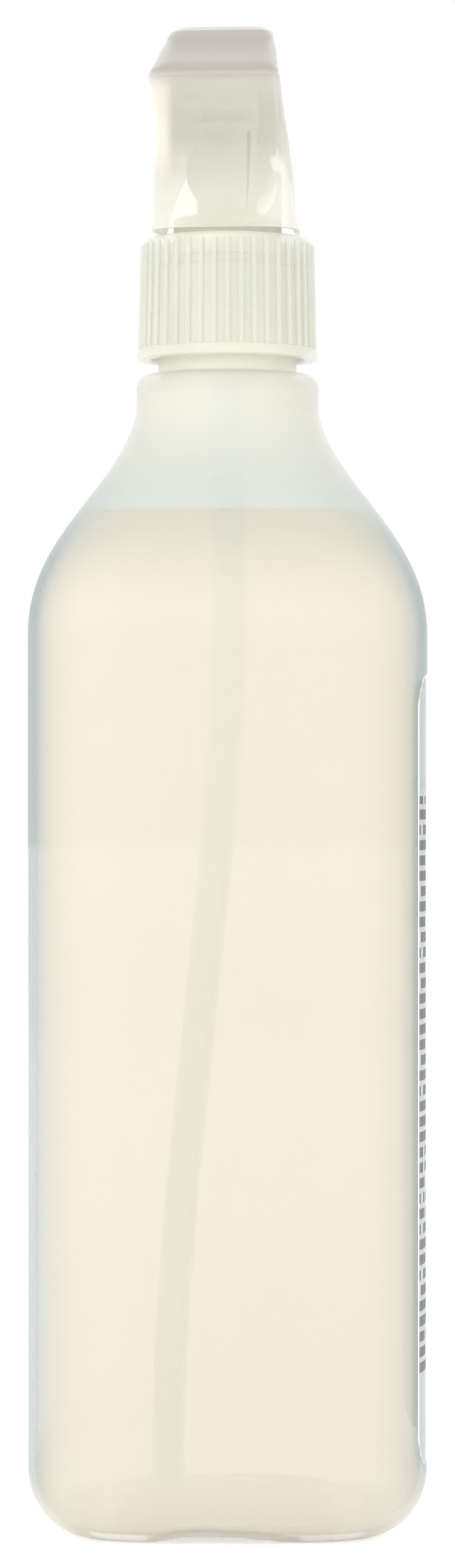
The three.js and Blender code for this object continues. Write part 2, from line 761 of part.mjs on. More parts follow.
/** A level's outline: a trapezoid with rounded corners, counter-clockwise from above. */
function shroudRing({ rear, front, rearHalf, frontHalf }, corner, z) {
  const corners = [
    new THREE.Vector2(rearHalf, rear),
    new THREE.Vector2(frontHalf, front),
    new THREE.Vector2(-frontHalf, front),
    new THREE.Vector2(-rearHalf, rear),
  ];
  const points = [];
  corners.forEach((middle, i) => {
    const before = corners.at(i - 1).clone().sub(middle).setLength(corner).add(middle);
    const after = corners[(i + 1) % 4].clone().sub(middle).setLength(corner).add(middle);
    const arc = new THREE.QuadraticBezierCurve(before, middle, after);
    for (const { x, y } of arc.getPoints(CORNER_POINTS)) points.push(new THREE.Vector3(x, y, z));
  });
  return points;
}

/** How round the shroud's corners are: fuller at the skirt, which stands on the closure. */
function shroudCorner(z) {
  return SHROUD_CORNER * (1 + 1.2 * THREE.MathUtils.clamp((243 - z) / 9, 0, 1));
}

/** The inside of the shroud, open below and under the brow. */
function shroudHollow() {
  const heights = SHROUD_LEVELS.map(([z]) => z).slice(1, -3);
  const below = SHROUD_BROW - 0.1;
  const highest = SHROUD_LEVELS.at(-1)[0] - SHROUD_WALL;
  const rings = [SHROUD_BOTTOM - 2, ...heights, highest - 1.2, highest - 0.2].flatMap((z) => {
    const here = shroudLevel(z);
    const higher = shroudLevel(z + SHROUD_WALL);
    const lower = shroudLevel(z - SHROUD_WALL);
    const inner = {
      rear: Math.max(here.rear + SHROUD_WALL, higher.rear, lower.rear),
      front: Math.min(here.front - SHROUD_WALL, higher.front),
      rearHalf: here.rearHalf - SHROUD_WALL,
      frontHalf: here.frontHalf - SHROUD_WALL,
    };
    const corner = shroudCorner(z) - SHROUD_WALL * 0.8;
    const open = { ...inner, front: SHROUD_FRONT + 4 };
    if (z < SHROUD_BROW) return [shroudRing(open, corner, z)];
    if (z > SHROUD_BROW) return [shroudRing(inner, corner, z)];
    return [shroudRing(open, corner, below), shroudRing(inner, corner, z)];
  });
  return loft(rings);
}

function makeShroud() {
  const outer = loft(
    SHROUD_LEVELS.map(([z]) => shroudRing(shroudLevel(z), shroudCorner(z), z)),
  );
  const barrelHole = rod(
    Y_AXIS,
    BARREL_RADIUS + SEAT_GAP,
    SHROUD_FRONT - 5,
    SHROUD_FRONT + 1,
    new THREE.Vector3(0, 0, BARREL_HEIGHT),
  );
  return outer.subtract(shroudHollow()).subtract(barrelHole);
}

function makeNozzle() {
  const half = NOZZLE_SIDE / 2 - NOZZLE_BEVEL;
  const shape = new THREE.Shape(
    roundedRectangle(-half, -half, half, half, NOZZLE_CORNER - NOZZLE_BEVEL, 3),
  );
  const geometry = new THREE.ExtrudeGeometry(shape, {
    depth: NOZZLE_LENGTH - 2 * NOZZLE_BEVEL,
    bevelThickness: NOZZLE_BEVEL,
    bevelSize: NOZZLE_BEVEL,
    bevelSegments: 2,
  });
  const front = NOZZLE_REAR + NOZZLE_LENGTH;
  geometry.rotateX(Math.PI / 2).translate(0, front - NOZZLE_BEVEL, BARREL_HEIGHT);
  const axis = new THREE.Vector3(0, 0, BARREL_HEIGHT);
  const floor = nozzleFloor();
  return solidOf(geometry)
    .subtract(rod(Y_AXIS, BARREL_RADIUS + SEAT_GAP, NOZZLE_REAR - 1, floor, axis))
    .subtract(rod(Y_AXIS, NOZZLE_ORIFICE, floor - 1, front + 1, axis, 12))
    .subtract(rod(Y_AXIS, NOZZLE_SIDE / 5, front - 1, front + 1, axis, SMALL_ROUND));
}

/** Where the nozzle cap's socket ends, past the barrel's end and the seal. */
function nozzleFloor() {
  return BARREL_FRONT + NOZZLE_SEAL_THICKNESS + 2 * SEAT_GAP;
}

function makeNozzleSeal() {
  const axis = new THREE.Vector3(0, 0, BARREL_HEIGHT);
  const rear = BARREL_FRONT + SEAT_GAP;
  const front = rear + NOZZLE_SEAL_THICKNESS;
  return rod(Y_AXIS, BARREL_RADIUS - 0.1, rear, front, axis, SMALL_ROUND).subtract(
    rod(Y_AXIS, PORT_RADIUS, rear - 1, front + 1, axis, SMALL_ROUND),
  );
}

function makeOutletValve() {
  const axis = new THREE.Vector3(0, 0, BARREL_HEIGHT);
  const rear = BARREL_FRONT - BARREL_SOCKET_DEPTH + SEAT_GAP;
  const radius = BARREL_SOCKET_RADIUS - SEAT_GAP;
  return rod(Y_AXIS, radius, rear, rear + 1, axis, SMALL_ROUND).add(
    rod(Y_AXIS, radius / 2, rear, rear + 1.8, axis, 12),
  );
}

/** A plug in the barrel's end, with two grooves that the liquid runs along. */
function makeSwirlInsert() {
  const axis = new THREE.Vector3(0, 0, BARREL_HEIGHT);
  const rear = BARREL_FRONT - BARREL_SOCKET_DEPTH + SEAT_GAP + 1.8 + SEAT_GAP;
  const radius = BARREL_SOCKET_RADIUS - SEAT_GAP;
  const groove = box(
    radius - 0.7,
    radius + 1,
    rear - 1,
    BARREL_FRONT + 1,
    BARREL_HEIGHT - 0.5,
    BARREL_HEIGHT + 0.5,
  );
  return rod(Y_AXIS, radius, rear, BARREL_FRONT, axis, SMALL_ROUND)
    .subtract(groove)
    .subtract(mirrored(groove));
}

function plastic(color, roughness, opacity = 1) {
  return new THREE.MeshStandardMaterial({
    color,
    roughness,
    metalness: 0,
    opacity,
    transparent: opacity < 1,
  });
}

function steel() {
  return new THREE.MeshStandardMaterial({ color: 0xb6b9bd, roughness: 0.25, metalness: 1 });
}

function meshOf(name, solid, material) {
  const { vertProperties, triVerts } = solid.getMesh();
  const geometry = new THREE.BufferGeometry();
  geometry.setAttribute("position", new THREE.BufferAttribute(vertProperties, 3));
  geometry.setIndex(new THREE.BufferAttribute(triVerts, 1));
  const mesh = new THREE.Mesh(toCreasedNormals(geometry, CREASE_ANGLE), material);
  mesh.name = name;
  return mesh;
}

const container = new THREE.Group();
container.add(
  meshOf("bottle", makeBottle(), plastic(0xe9e9dc, 0.42, 0.6)),
  meshOf("back_label", makeLabel(), plastic(0xf4f5f0, 0.35)),
  meshOf("cleaning_liquid", makeLiquid(), plastic(0xf3ead6, 0.1, 0.6)),
);

const coupling = new THREE.Group();
coupling.add(
  meshOf("neck_gasket", makeGasket(), plastic(0xdedbd2, 0.7)),
  meshOf("closure", makeClosure(), plastic(0xeceade, 0.4)),
);

const pump = new THREE.Group();
pump.add(
  meshOf("pump_body", makePumpBody(), plastic(0xe6e2d4, 0.45)),
  meshOf("tube_retainer", makeRetainer(), plastic(0xe4e0d2, 0.5)),
  meshOf("inlet_ball", makeBall(), steel()),
  meshOf("piston", makePiston(), plastic(0xe8e6de, 0.4)),
  meshOf("piston_seal", makePistonSeal(), plastic(0xd5d3cb, 0.6)),
  meshOf("return_spring", makeSpring(), steel()),
  meshOf("trigger", makeTrigger(), plastic(0xe9e7dd, 0.4)),
);

const front = new THREE.Group();
front.add(
  meshOf("shroud", makeShroud(), plastic(0xe2dfd2, 0.3, 0.7)),
  meshOf("outlet_valve", makeOutletValve(), plastic(0xd8d6ce, 0.6)),
  meshOf("swirl_insert", makeSwirlInsert(), plastic(0xe0ded6, 0.5)),
  meshOf("nozzle_seal", makeNozzleSeal(), plastic(0xd8d6ce, 0.6)),
  meshOf("nozzle_cap", makeNozzle(), plastic(0xe9e7dd, 0.4)),
);

const head = new THREE.Group();
head.add(pump, front);
head.rotation.z = THREE.MathUtils.degToRad(HEAD_TURN);

const dipTube = meshOf("dip_tube", alongTube(TUBE_RADIUS, TUBE_BORE), plastic(0xeee9da, 0.4, 0.7));

const sprayBottle = new THREE.Group();
sprayBottle.add(container, coupling, dipTube, head);

export default sprayBottle;
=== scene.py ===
"""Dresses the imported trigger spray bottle: skins, liquid, label, ribbed closure and head."""

import logging
import math
from dataclasses import dataclass, replace
from enum import Enum
from typing import Callable, Sequence, Union

import bmesh
import bpy
import numpy as np
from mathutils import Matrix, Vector


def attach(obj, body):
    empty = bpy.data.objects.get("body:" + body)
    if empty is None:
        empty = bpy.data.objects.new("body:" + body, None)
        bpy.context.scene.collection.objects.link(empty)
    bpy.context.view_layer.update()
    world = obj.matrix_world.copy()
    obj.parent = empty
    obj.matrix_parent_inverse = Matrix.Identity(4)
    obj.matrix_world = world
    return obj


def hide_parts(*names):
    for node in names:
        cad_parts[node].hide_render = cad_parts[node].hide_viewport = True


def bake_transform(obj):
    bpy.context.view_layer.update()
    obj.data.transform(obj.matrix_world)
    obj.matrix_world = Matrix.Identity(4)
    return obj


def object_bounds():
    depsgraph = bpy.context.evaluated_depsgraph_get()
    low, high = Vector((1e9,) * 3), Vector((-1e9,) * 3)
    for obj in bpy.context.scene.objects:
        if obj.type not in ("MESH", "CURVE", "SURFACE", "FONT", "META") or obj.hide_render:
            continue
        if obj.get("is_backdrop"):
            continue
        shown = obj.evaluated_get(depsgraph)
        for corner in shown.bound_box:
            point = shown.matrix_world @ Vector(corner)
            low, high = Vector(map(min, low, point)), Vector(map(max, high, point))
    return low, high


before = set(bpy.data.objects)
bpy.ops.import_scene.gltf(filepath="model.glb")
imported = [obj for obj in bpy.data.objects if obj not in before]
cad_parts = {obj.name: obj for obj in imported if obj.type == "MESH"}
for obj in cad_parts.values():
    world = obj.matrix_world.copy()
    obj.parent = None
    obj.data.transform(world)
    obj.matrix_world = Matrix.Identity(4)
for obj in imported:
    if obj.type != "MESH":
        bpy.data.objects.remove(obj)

LOG = logging.getLogger("spray_bottle")
MM = 0.001
OUTLINE_STEPS = 1440
HEAD_TURN = -4.9  # the spray head's turn about the bottle's axis, in degrees
BARREL_HEIGHT = 258.5  # the height of the nozzle's axis, in millimetres

Colour = tuple[float, float, float]
Scale = tuple[float, float, float]
Span = tuple[float, float]
Number = Union[float, "Value"]


class Body(str, Enum):
    """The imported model's bodies that pieces ride on."""

    BOTTLE = "bottle"
    GASKET = "gasket"
    CLOSURE = "closure"
    SPRAYER = "sprayer"
    TRIGGER = "trigger"
    PISTON = "piston"
    NOZZLE = "nozzle"
    BALL = "inlet_ball"


class Slot(str, Enum):
    """The record's material slots."""

    BOTTLE_WALL = "natural_hdpe"
    LABEL = "label_film"
    LIQUID = "cleaning_liquid"
    PLASTIC = "natural_pp"
    CLEAR = "clear_pp"
    TUBE = "tube_pe"
    SEAL = "seal_rubber"
    STEEL = "stainless"


class Value:
    """A number on a shader socket, which Python arithmetic turns into Math nodes."""

    def __init__(self, shader: "Shader", socket: bpy.types.NodeSocket) -> None:
        """Wraps a socket.

        Args:
            shader: The tree that the socket's node is in.
            socket: An output socket.
        """
        self.shader = shader
        self.socket = socket

    def math(self, operation: str, *others: Number) -> "Value":
        """Applies one Math node.

        Args:
            operation: The Math node's operation.
            others: Its second and third values.

        Returns:
            The node's result.
        """
        inputs = {i: value for i, value in enumerate((self, *others))}
        return self.shader.value("ShaderNodeMath", {"operation": operation}, inputs)

    def __add__(self, other: Number) -> "Value":
        """Self plus other."""
        return self.math("ADD", other)

    __radd__ = __add__

    def __mul__(self, other: Number) -> "Value":
        """Self times other."""
        return self.math("MULTIPLY", other)

    __rmul__ = __mul__

    def __sub__(self, other: Number) -> "Value":
        """Self minus other."""
        return self.math("SUBTRACT", other)

    def __rsub__(self, other: Number) -> "Value":
        """Other minus self."""
        return self * -1.0 + other

    def __truediv__(self, other: Number) -> "Value":
        """Self over other."""
        return self.math("DIVIDE", other)

    def __pow__(self, other: Number) -> "Value":
        """Self to the power of other."""
        return self.math("POWER", other)

    def __abs__(self) -> "Value":
        """The size of self without its sign."""
        return self.math("ABSOLUTE")

    def below(self, limit: Number) -> "Value":
        """1 where self is less than the limit, and 0 elsewhere."""
        return self.math("LESS_THAN", limit)

    def above(self, limit: Number) -> "Value":
        """1 where self is more than the limit, and 0 elsewhere."""
        return self.math("GREATER_THAN", limit)

    def fraction(self) -> "Value":
        """The part of self after the point."""
        return self.math("FRACT")

    def whole(self) -> "Value":
        """Self rounded down."""
        return self.math("FLOOR")

    def larger(self, other: Number) -> "Value":
        """The larger of self and other."""
        return self.math("MAXIMUM", other)

    def around(self, middle: float, spread: float) -> "Value":
        """Turns noise into a value that varies by a spread about a middle."""
        return self * spread + (middle - spread / 2)

    def between(self, low: Number, high: Number) -> "Value":
        """Turns a share into a value from low at 0 to high at 1."""
        return self * (high - low) + low

    def smooth(self, low: float, high: float) -> "Value":
        """Rises smoothly from 0 at low to 1 at high.

        Args:
            low: Where the rise starts.
            high: Where it ends; it may be less than low for a fall.

        Returns:
            The smoothed share.
        """
        settings = {"interpolation_type": "SMOOTHSTEP"}
        inputs = {"Value": self, "From Min": low, "From Max": high}
        return self.shader.value("ShaderNodeMapRange", settings, inputs)


class Shader:
    """One material's node tree."""

    def __init__(self, name: str) -> None:
        """Starts a material with a Principled BSDF.

        Args:
            name: The material's name.
        """
        self.material = bpy.data.materials.new(name)
        self.material.use_nodes = True
        self.tree = self.material.node_tree
        self.surface = self.tree.nodes["Principled BSDF"]

    @staticmethod
    def pick(sockets: bpy.types.bpy_prop_collection, key: Union[int, str]) -> bpy.types.NodeSocket:
        """Finds a socket by its place, identifier or name.

        Args:
            sockets: A node's inputs or outputs.
            key: The place, identifier or name.

        Returns:
            The socket.
        """
        if isinstance(key, str):
            for socket in sockets:
                if socket.identifier == key:
                    return socket
        return sockets[key]

    def feed(self, node: bpy.types.Node, key: Union[int, str], value: object) -> None:
        """Links or sets one input of a node.

        Args:
            node: The node.
            key: Which input.
            value: A Value, an output socket, or a plain value.
        """
        socket = self.pick(node.inputs, key)
        if isinstance(value, Value):
            self.tree.links.new(value.socket, socket)
        elif isinstance(value, bpy.types.NodeSocket):
            self.tree.links.new(value, socket)
        elif isinstance(value, tuple) and len(value) == 3 and socket.type == "RGBA":
            socket.default_value = (*value, 1.0)
        else:
            socket.default_value = value

    def node(self, kind: str, settings: dict[str, object], inputs: dict) -> bpy.types.Node:
        """Adds one node.

        Args:
            kind: The node's type.
            settings: Its settings, and a ramp's stops under "stops".
            inputs: Its input sockets' values or links.

        Returns:
            The node.
        """
        node = self.tree.nodes.new(kind)
        for key, setting in settings.items():
            if key == "stops":
                self.set_stops(node, setting)
            else:
                setattr(node, key, setting)
        for key, value in inputs.items():
            self.feed(node, key, value)
        return node

    @staticmethod
    def set_stops(node: bpy.types.Node, stops: Sequence[tuple[float, Colour]]) -> None:
        """Sets a colour ramp's stops.

        Args:
            node: The ramp's node.
            stops: Places and colours, from low to high.
        """
        elements = node.color_ramp.elements
        while len(elements) < len(stops):
            elements.new(1.0)
        for element, (place, colour) in zip(elements, stops):
            element.position = place
            element.color = (*colour, 1.0)

    def value(
        self,
        kind: str,
        settings: dict[str, object],
        inputs: dict,
        output: Union[int, str] = 0,
    ) -> Value:
        """Adds one node and wraps one of its outputs.

        Args:
            kind: The node's type.
            settings: Its settings.
            inputs: Its inputs.
            output: Which output to wrap.

        Returns:
            The wrapped output.
        """
        node = self.node(kind, settings, inputs)
        return Value(self, self.pick(node.outputs, output))

    def place(self) -> bpy.types.NodeSocket:
        """The Object coordinates, in metres in the part's own frame."""
        return self.node("ShaderNodeTexCoord", {}, {}).outputs["Object"]

    def axes(self) -> tuple[Value, Value, Value]:
        """The Object coordinates as three values, in millimetres."""
        node = self.node("ShaderNodeSeparateXYZ", {}, {0: self.place()})
        return tuple(Value(self, output) * 1000.0 for output in node.outputs)

    def normals(self) -> tuple[Value, Value, Value]:
        """The surface's normal in the part's own frame, as three values."""
        place = self.node("ShaderNodeTexCoord", {}, {}).outputs["Normal"]
        node = self.node("ShaderNodeSeparateXYZ", {}, {0: place})
        return tuple(Value(self, output) for output in node.outputs)

    def noise(self, size: float, detail: float = 2.0, stretch: Scale = (1, 1, 1)) -> Value:
        """Smooth noise around 0.5.

        Args:
            size: The size of its patches, in millimetres.
            detail: How many finer layers it has.
            stretch: Scale of the pattern along each axis.

        Returns:
            The noise.
        """
        mapping = self.node("ShaderNodeMapping", {}, {"Vector": self.place(), "Scale": stretch})
        inputs = {"Vector": mapping.outputs[0], "Scale": 1.0 / (size * MM), "Detail": detail}
        return self.value("ShaderNodeTexNoise", {}, inputs)

    def mixed(self, share: Number, low: object, high: object) -> bpy.types.NodeSocket:
        """Mixes two colours.

        Args:
            share: 0 for the first colour, 1 for the second.
            low: The first colour.
            high: The second colour.

        Returns:
            The mixed colour's socket.
        """
        inputs = {"Factor_Float": share, "A_Color": low, "B_Color": high}
        settings = {"data_type": "RGBA", "clamp_factor": True}
        return self.pick(self.node("ShaderNodeMix", settings, inputs).outputs, "Result_Color")

    def facing(self) -> Value:
        """How far the surface turns from square on: 0 there, and 1 at its outline."""
        return self.value("ShaderNodeLayerWeight", {}, {"Blend": 0.5}, "Facing")

    def bump(self, height: Value, depth: float) -> None:
        """Raises the surface's normal by a height.

        Args:
            height: The height, from 0 to 1.
            depth: What 1 stands for, in millimetres.
        """
        inputs = {"Height": height, "Distance": depth * MM, "Strength": 1.0}
        node = self.node("ShaderNodeBump", {}, inputs)
        self.feed(self.surface, "Normal", node.outputs[0])

    def finish(self, **inputs: object) -> bpy.types.Material:
        """Sets the surface's own sockets.

        Args:
            inputs: Socket names, with underscores for spaces.

        Returns:
            The material.
        """
        for key, value in inputs.items():
            self.feed(self.surface, key.replace("_", " "), value)
        return self.material


@dataclass(frozen=True)
class MouldedPlastic:
    """Natural moulded plastic, which covers more the more it turns from square on."""

    name: str
    colour: Colour
    shade: Colour
    roughness: float
    cover: float = 1.0
    edge_cover: float = 1.0
    edge_power: float = 2.0
    patch: float = 14.0
    grain: float = 0.5
    grain_depth: float = 0.006
    flow: Scale = (1.0, 1.0, 0.35)
    roughness_spread: float = 0.12

    def material(self) -> bpy.types.Material:
        """Builds the finish.

        Returns:
            A material with cloudy flow marks, a fine moulded grain and its own cover.
        """
        shader = Shader(self.name)
        cloud = shader.noise(self.patch, 3.0, self.flow)
        grain = shader.noise(self.grain, 2.0)
        colour = shader.mixed(cloud.smooth(0.3, 0.75), self.colour, self.shade)
        shader.bump(grain * 0.7 + cloud * 0.3, self.grain_depth)
        if self.cover < 1.0:
            rise = shader.facing() ** self.edge_power
            shader.finish(Alpha=rise.between(self.cover, self.edge_cover))
        return shader.finish(
            Base_Color=colour,
            Roughness=cloud.around(self.roughness, self.roughness_spread),
            IOR=1.5,
        )


@dataclass(frozen=True)
class OuterWall:
    """The wall's outer skin: hardly there square on, and a cool grey along the outline."""

    name: str = "outer_wall"
    colour: Colour = (0.20, 0.30, 0.32)
    base_colour: Colour = (0.93, 0.88, 0.79)
    collar_colour: Colour = (0.76, 0.755, 0.665)
    # Painted light: the neck is painted paler to lift the shade that the closure casts on it.
    neck_colour_painted_light: Colour = (0.96, 0.955, 0.85)
    roughness: float = 0.34
    cover: float = 0.05
    collar_cover: float = 0.5
    neck_cover: float = 0.85
    base_cover: float = 0.08
    edge_cover: float = 0.62
    edge_power: float = 1.1
    roughness_spread: float = 0.12
    patch: float = 26.0
    flow: Scale = (1.0, 1.0, 0.4)
    ripple: float = 9.0
    ripple_depth: float = 0.05
    grain: float = 0.35
    grain_depth: float = 0.008
    cloud_cover: float = 0.03
    base_rise: float = 0.35
    base_fall: Span = (14.0, 1.0)
    collar_rise: Span = (168.0, 206.0)
    neck_rise: Span = (207.3, 208.2)

    def material(self) -> bpy.types.Material:
        """Builds the finish.

        Returns:
            A material whose cover follows the wall's thickness from the base to the collar.
        """
        shader = Shader(self.name)
        height = shader.axes()[2]
        collar = height.smooth(*self.collar_rise)
        neck = height.smooth(*self.neck_rise)
        base = height.smooth(*self.base_fall)
        cloud = shader.noise(self.patch, 3.0, self.flow)
        ripple = shader.noise(self.ripple, 1.0)
        grain = shader.noise(self.grain, 2.0)
        square_on = (
            collar * (self.collar_cover - self.cover)
            + base * (self.base_cover - self.cover)
            + neck * (self.neck_cover - self.collar_cover)
            + cloud.around(self.cover, self.cloud_cover)
        )
        rise = shader.facing() ** self.edge_power * (1.0 + base * self.base_rise)
        side = shader.mixed(base, self.colour, self.base_colour)
        wall = shader.mixed(collar + cloud * 0.1, side, self.collar_colour)
        shader.bump(ripple + grain * (self.grain_depth / self.ripple_depth), self.ripple_depth)
        return shader.finish(
            # The neck's paler colour is painted light that lifts the closure's shade.
            Base_Color=shader.mixed(neck, wall, self.neck_colour_painted_light),
            Roughness=cloud.around(self.roughness, self.roughness_spread),
            Alpha=rise.between(square_on, self.edge_cover),
            Specular_IOR_Level=0.2,
            IOR=1.52,
        )


@dataclass(frozen=True)
class InnerWall:
    """The wall's inner skin, which glows with what lies behind it: liquid or air."""

    fill: float
    name: str = "inner_wall"
    wet: Colour = (0.98, 0.882, 0.73)
    wet_middle: Colour = (0.965, 0.868, 0.73)
    # Painted light: paler near the bottom, to lift the shade where the base gets little light.
    wet_low_painted_light: Colour = (0.99, 0.93, 0.80)
    warm_patch: Colour = (0.97, 0.89, 0.76)
    dry: Colour = (0.955, 0.955, 0.905)
    wet_cover: float = 0.72
    dry_cover: float = 0.8
    shore: float = 0.4
    patch: float = 38.0
    flow: Scale = (1.0, 1.0, 0.5)
    fade_power: float = 4.0
    foot_rise: Span = (2.0, 16.0)
    low_rise: Span = (2.0, 24.0)
    middle_rise: Span = (70.0, 140.0)

    def material(self) -> bpy.types.Material:
        """Builds the finish.

        Returns:
            A material that is warm up to the fill line, paler above it, paler near
            the bottom with painted light that lifts the shade there, and fades towards the outline.
        """
        shader = Shader(self.name)
        height = shader.axes()[2]
        cloud = shader.noise(self.patch, 2.0, self.flow)
        dry = height.smooth(self.fill - self.shore, self.fill + self.shore)
        inside = 1.0 - shader.facing() ** self.fade_power * height.smooth(*self.foot_rise)
        # Painted light: the colour near the bottom is paler, to lift the shade there.
        low = shader.mixed(height.smooth(*self.low_rise), self.wet_low_painted_light, self.wet_middle)
        wet = shader.mixed(height.smooth(*self.middle_rise), low, self.wet)
        warm = shader.mixed(cloud.smooth(0.45, 0.8) * 0.35, wet, self.warm_patch)
        return shader.finish(
            Base_Color=shader.mixed(dry, warm, self.dry),
            Roughness=cloud * 0.1 + 0.45,
            Alpha=dry.between(self.wet_cover, self.dry_cover) * inside,
            IOR=1.3,
        )


@dataclass(frozen=True)
class PaleLiquid:
    """Nearly clear liquid: a faint warm tint, paler towards the fill line."""

    name: str = "pale_liquid"
    colour: Colour = (0.95, 0.86, 0.73)
    low_colour: Colour = (0.94, 0.85, 0.73)
    high_colour: Colour = (0.93, 0.88, 0.77)
    cover: float = 0.1
    cloud_cover: float = 0.06
    fade_power: float = 3.0
    roughness: float = 0.12
    roughness_spread: float = 0.06
    patch: float = 45.0
    flow: Scale = (1.0, 1.0, 0.5)
    low_rise: Span = (10.0, 90.0)
    high_rise: Span = (120.0, 182.0)

    def material(self) -> bpy.types.Material:
        """Builds the finish.

        Returns:
            A softly clouded material that fades towards the outline.
        """
        shader = Shader(self.name)
        height = shader.axes()[2]
        cloud = shader.noise(self.patch, 1.0, self.flow)
        body = shader.mixed(height.smooth(*self.low_rise), self.low_colour, self.colour)
        tint = shader.mixed(height.smooth(*self.high_rise), body, self.high_colour)
        cover = cloud.around(self.cover, self.cloud_cover)
        return shader.finish(
            Base_Color=shader.mixed(cloud.smooth(0.35, 0.8) * 0.35, tint, self.high_colour),
            Roughness=cloud.around(self.roughness, self.roughness_spread),
            Alpha=cover * (1.0 - shader.facing() ** self.fade_power),
            IOR=1.34,
        )


@dataclass(frozen=True)
class ClearCover:
    """Clear moulded plastic of the head's cover, with more cover and painted shade on its top and a
    painted highlight along its left flank.
    """

    name: str = "clear_cover"
    colour: Colour = (0.81, 0.80, 0.715)
    skirt_colour: Colour = (0.91, 0.895, 0.80)
    # Painted shade: the darker top stands in for the dark inside seen through it.
    top_painted_shade: Colour = (0.47, 0.44, 0.40)
    # Painted highlight: a pale band on the left flank where the rounded corner catches the light.
    flank_highlight_colour: Colour = (0.985, 0.93, 0.82)
    roughness: float = 0.16
    roughness_spread: float = 0.1
    patch: float = 9.0
    grain: float = 0.8
    flow: Scale = (1.0, 1.0, 0.4)
    cover: float = 0.4
    edge_cover: float = 0.9
    edge_power: float = 1.3
    cloud_cover: float = 0.08
    top_cover: float = 0.2
    top_rise: Span = (257.6, 259.4)
    skirt_fall: Span = (252.0, 238.0)
    flank_cover: float = 0.3
    flank_side: Span = (-9.4, -11.4)
    flank_rise: Span = (241.0, 249.0)
    flank_fall: Span = (259.0, 256.0)

    def material(self) -> bpy.types.Material:
        """Builds the finish.

        Returns:
            A clear, glossy material with long soft flow marks.
        """
        shader = Shader(self.name)
        across, _, height = shader.axes()
        cloud = shader.noise(self.patch, 3.0, self.flow)
        grain = shader.noise(self.grain, 2.0)
        # The top's mask, which gets painted shade and more cover.
        top = height.smooth(*self.top_rise)
        wall = shader.mixed(height.smooth(*self.skirt_fall), self.colour, self.skirt_colour)
        # The left flank's band: a painted highlight, which also gets more cover.
        band = height.smooth(*self.flank_rise) * height.smooth(*self.flank_fall)
        flank_highlight = across.smooth(*self.flank_side) * band
        wall = shader.mixed(flank_highlight, wall, self.flank_highlight_colour)
        rise = shader.facing() ** self.edge_power
        square_on = (
            top * self.top_cover
            + flank_highlight * self.flank_cover
            + cloud.around(self.cover, self.cloud_cover)
        )
        shader.bump(cloud * 0.8 + grain * 0.2, 0.02)
        return shader.finish(
            Base_Color=shader.mixed(top * 0.9 + cloud * 0.08, wall, self.top_painted_shade),
            Roughness=cloud.around(self.roughness, self.roughness_spread),
            Alpha=rise.between(square_on, self.edge_cover),
            IOR=1.5,
        )


@dataclass(frozen=True)
class PrintedFilm:
    """White label film with generic print: a blue strip above and rows of small bars."""

    name: str = "printed_film"
    paper: Colour = (0.90, 0.92, 0.91)
    ink: Colour = (0.035, 0.045, 0.055)
    pale: Colour = (0.36, 0.66, 0.86)
    fleck: Colour = (0.8, 0.82, 0.82)
    # Painted light: the back face glows, in place of light that passes through the film.
    back_glow_painted_light: Colour = (0.38, 0.40, 0.38)
    # Painted shade: the label greys towards its sides, like the darker look near the bottle's
    # outline.
    side_painted_shade: Colour = (0.36, 0.38, 0.37)
    side_shade: Span = (14.0, 28.0)
    row_pitch: float = 2.7
    row_height: float = 0.66
    rows: Span = (29.0, 131.0)
    word_pitch: float = 1.9
    word_length: float = 0.84
    missing_words: float = 0.12
    columns: Span = (12.0, 33.4)
    strip_rise: Span = (132.0, 132.4)
    strip_fall: Span = (134.4, 134.0)
    field_side: Span = (11.6, 11.2)
    field_rise: Span = (58.0, 60.0)
    field_fall: Span = (142.0, 140.0)
    field_fade: Span = (150.0, 60.0)

    def material(self) -> bpy.types.Material:
        """Builds the finish.

        Returns:
            A glossy printed film, inked on its outer face alone.
        """
        shader = Shader(self.name)
        _, across, height = shader.axes()
        row = height / self.row_pitch
        word = across / self.word_pitch
        cell = shader.node("ShaderNodeCombineXYZ", {}, {0: word.whole(), 1: row.whole()})
        settings = {"noise_dimensions": "3D"}
        chance = shader.value("ShaderNodeTexWhiteNoise", settings, {"Vector": cell.outputs[0]})
        line = row.fraction().below(self.row_height)
        column = abs(across).below(self.columns[1]) * abs(across).above(self.columns[0])
        block = height.above(self.rows[0]) * height.below(self.rows[1])
        words = chance.above(self.missing_words) * word.fraction().below(self.word_length)
        text = line * column * block * words
        strip = height.smooth(*self.strip_rise) * height.smooth(*self.strip_fall) * column
        middle = abs(across).smooth(*self.field_side)
        field = middle * height.smooth(*self.field_rise) * height.smooth(*self.field_fall)
        fade = field * height.smooth(*self.field_fade) * 0.75
        grain = shader.noise(0.6, 2.0)
        outwards = shader.normals()[0].above(0.0)
        washed = shader.mixed(fade, self.paper, self.pale)
        banded = shader.mixed(strip * 0.55, washed, self.pale)
        # Painted shade: greyer towards the label's sides on its outer face.
        side_shade = abs(across).smooth(*self.side_shade) * outwards
        side_shaded = shader.mixed(side_shade * 0.8, banded, self.side_painted_shade)
        inked = shader.mixed(text * outwards * 0.95, side_shaded, self.ink)
        shader.bump(grain, 0.003)
        return shader.finish(
            Base_Color=shader.mixed(grain * 0.04, inked, self.fleck),
            Roughness=text * 0.1 + grain * 0.08 + 0.3,
            # Painted light: the film's back face emits a grey glow.
            Emission_Color=shader.mixed(outwards, self.back_glow_painted_light, (0.0, 0.0, 0.0)),
            Emission_Strength=1.0,
            Specular_IOR_Level=0.1,
            IOR=1.4,
        )


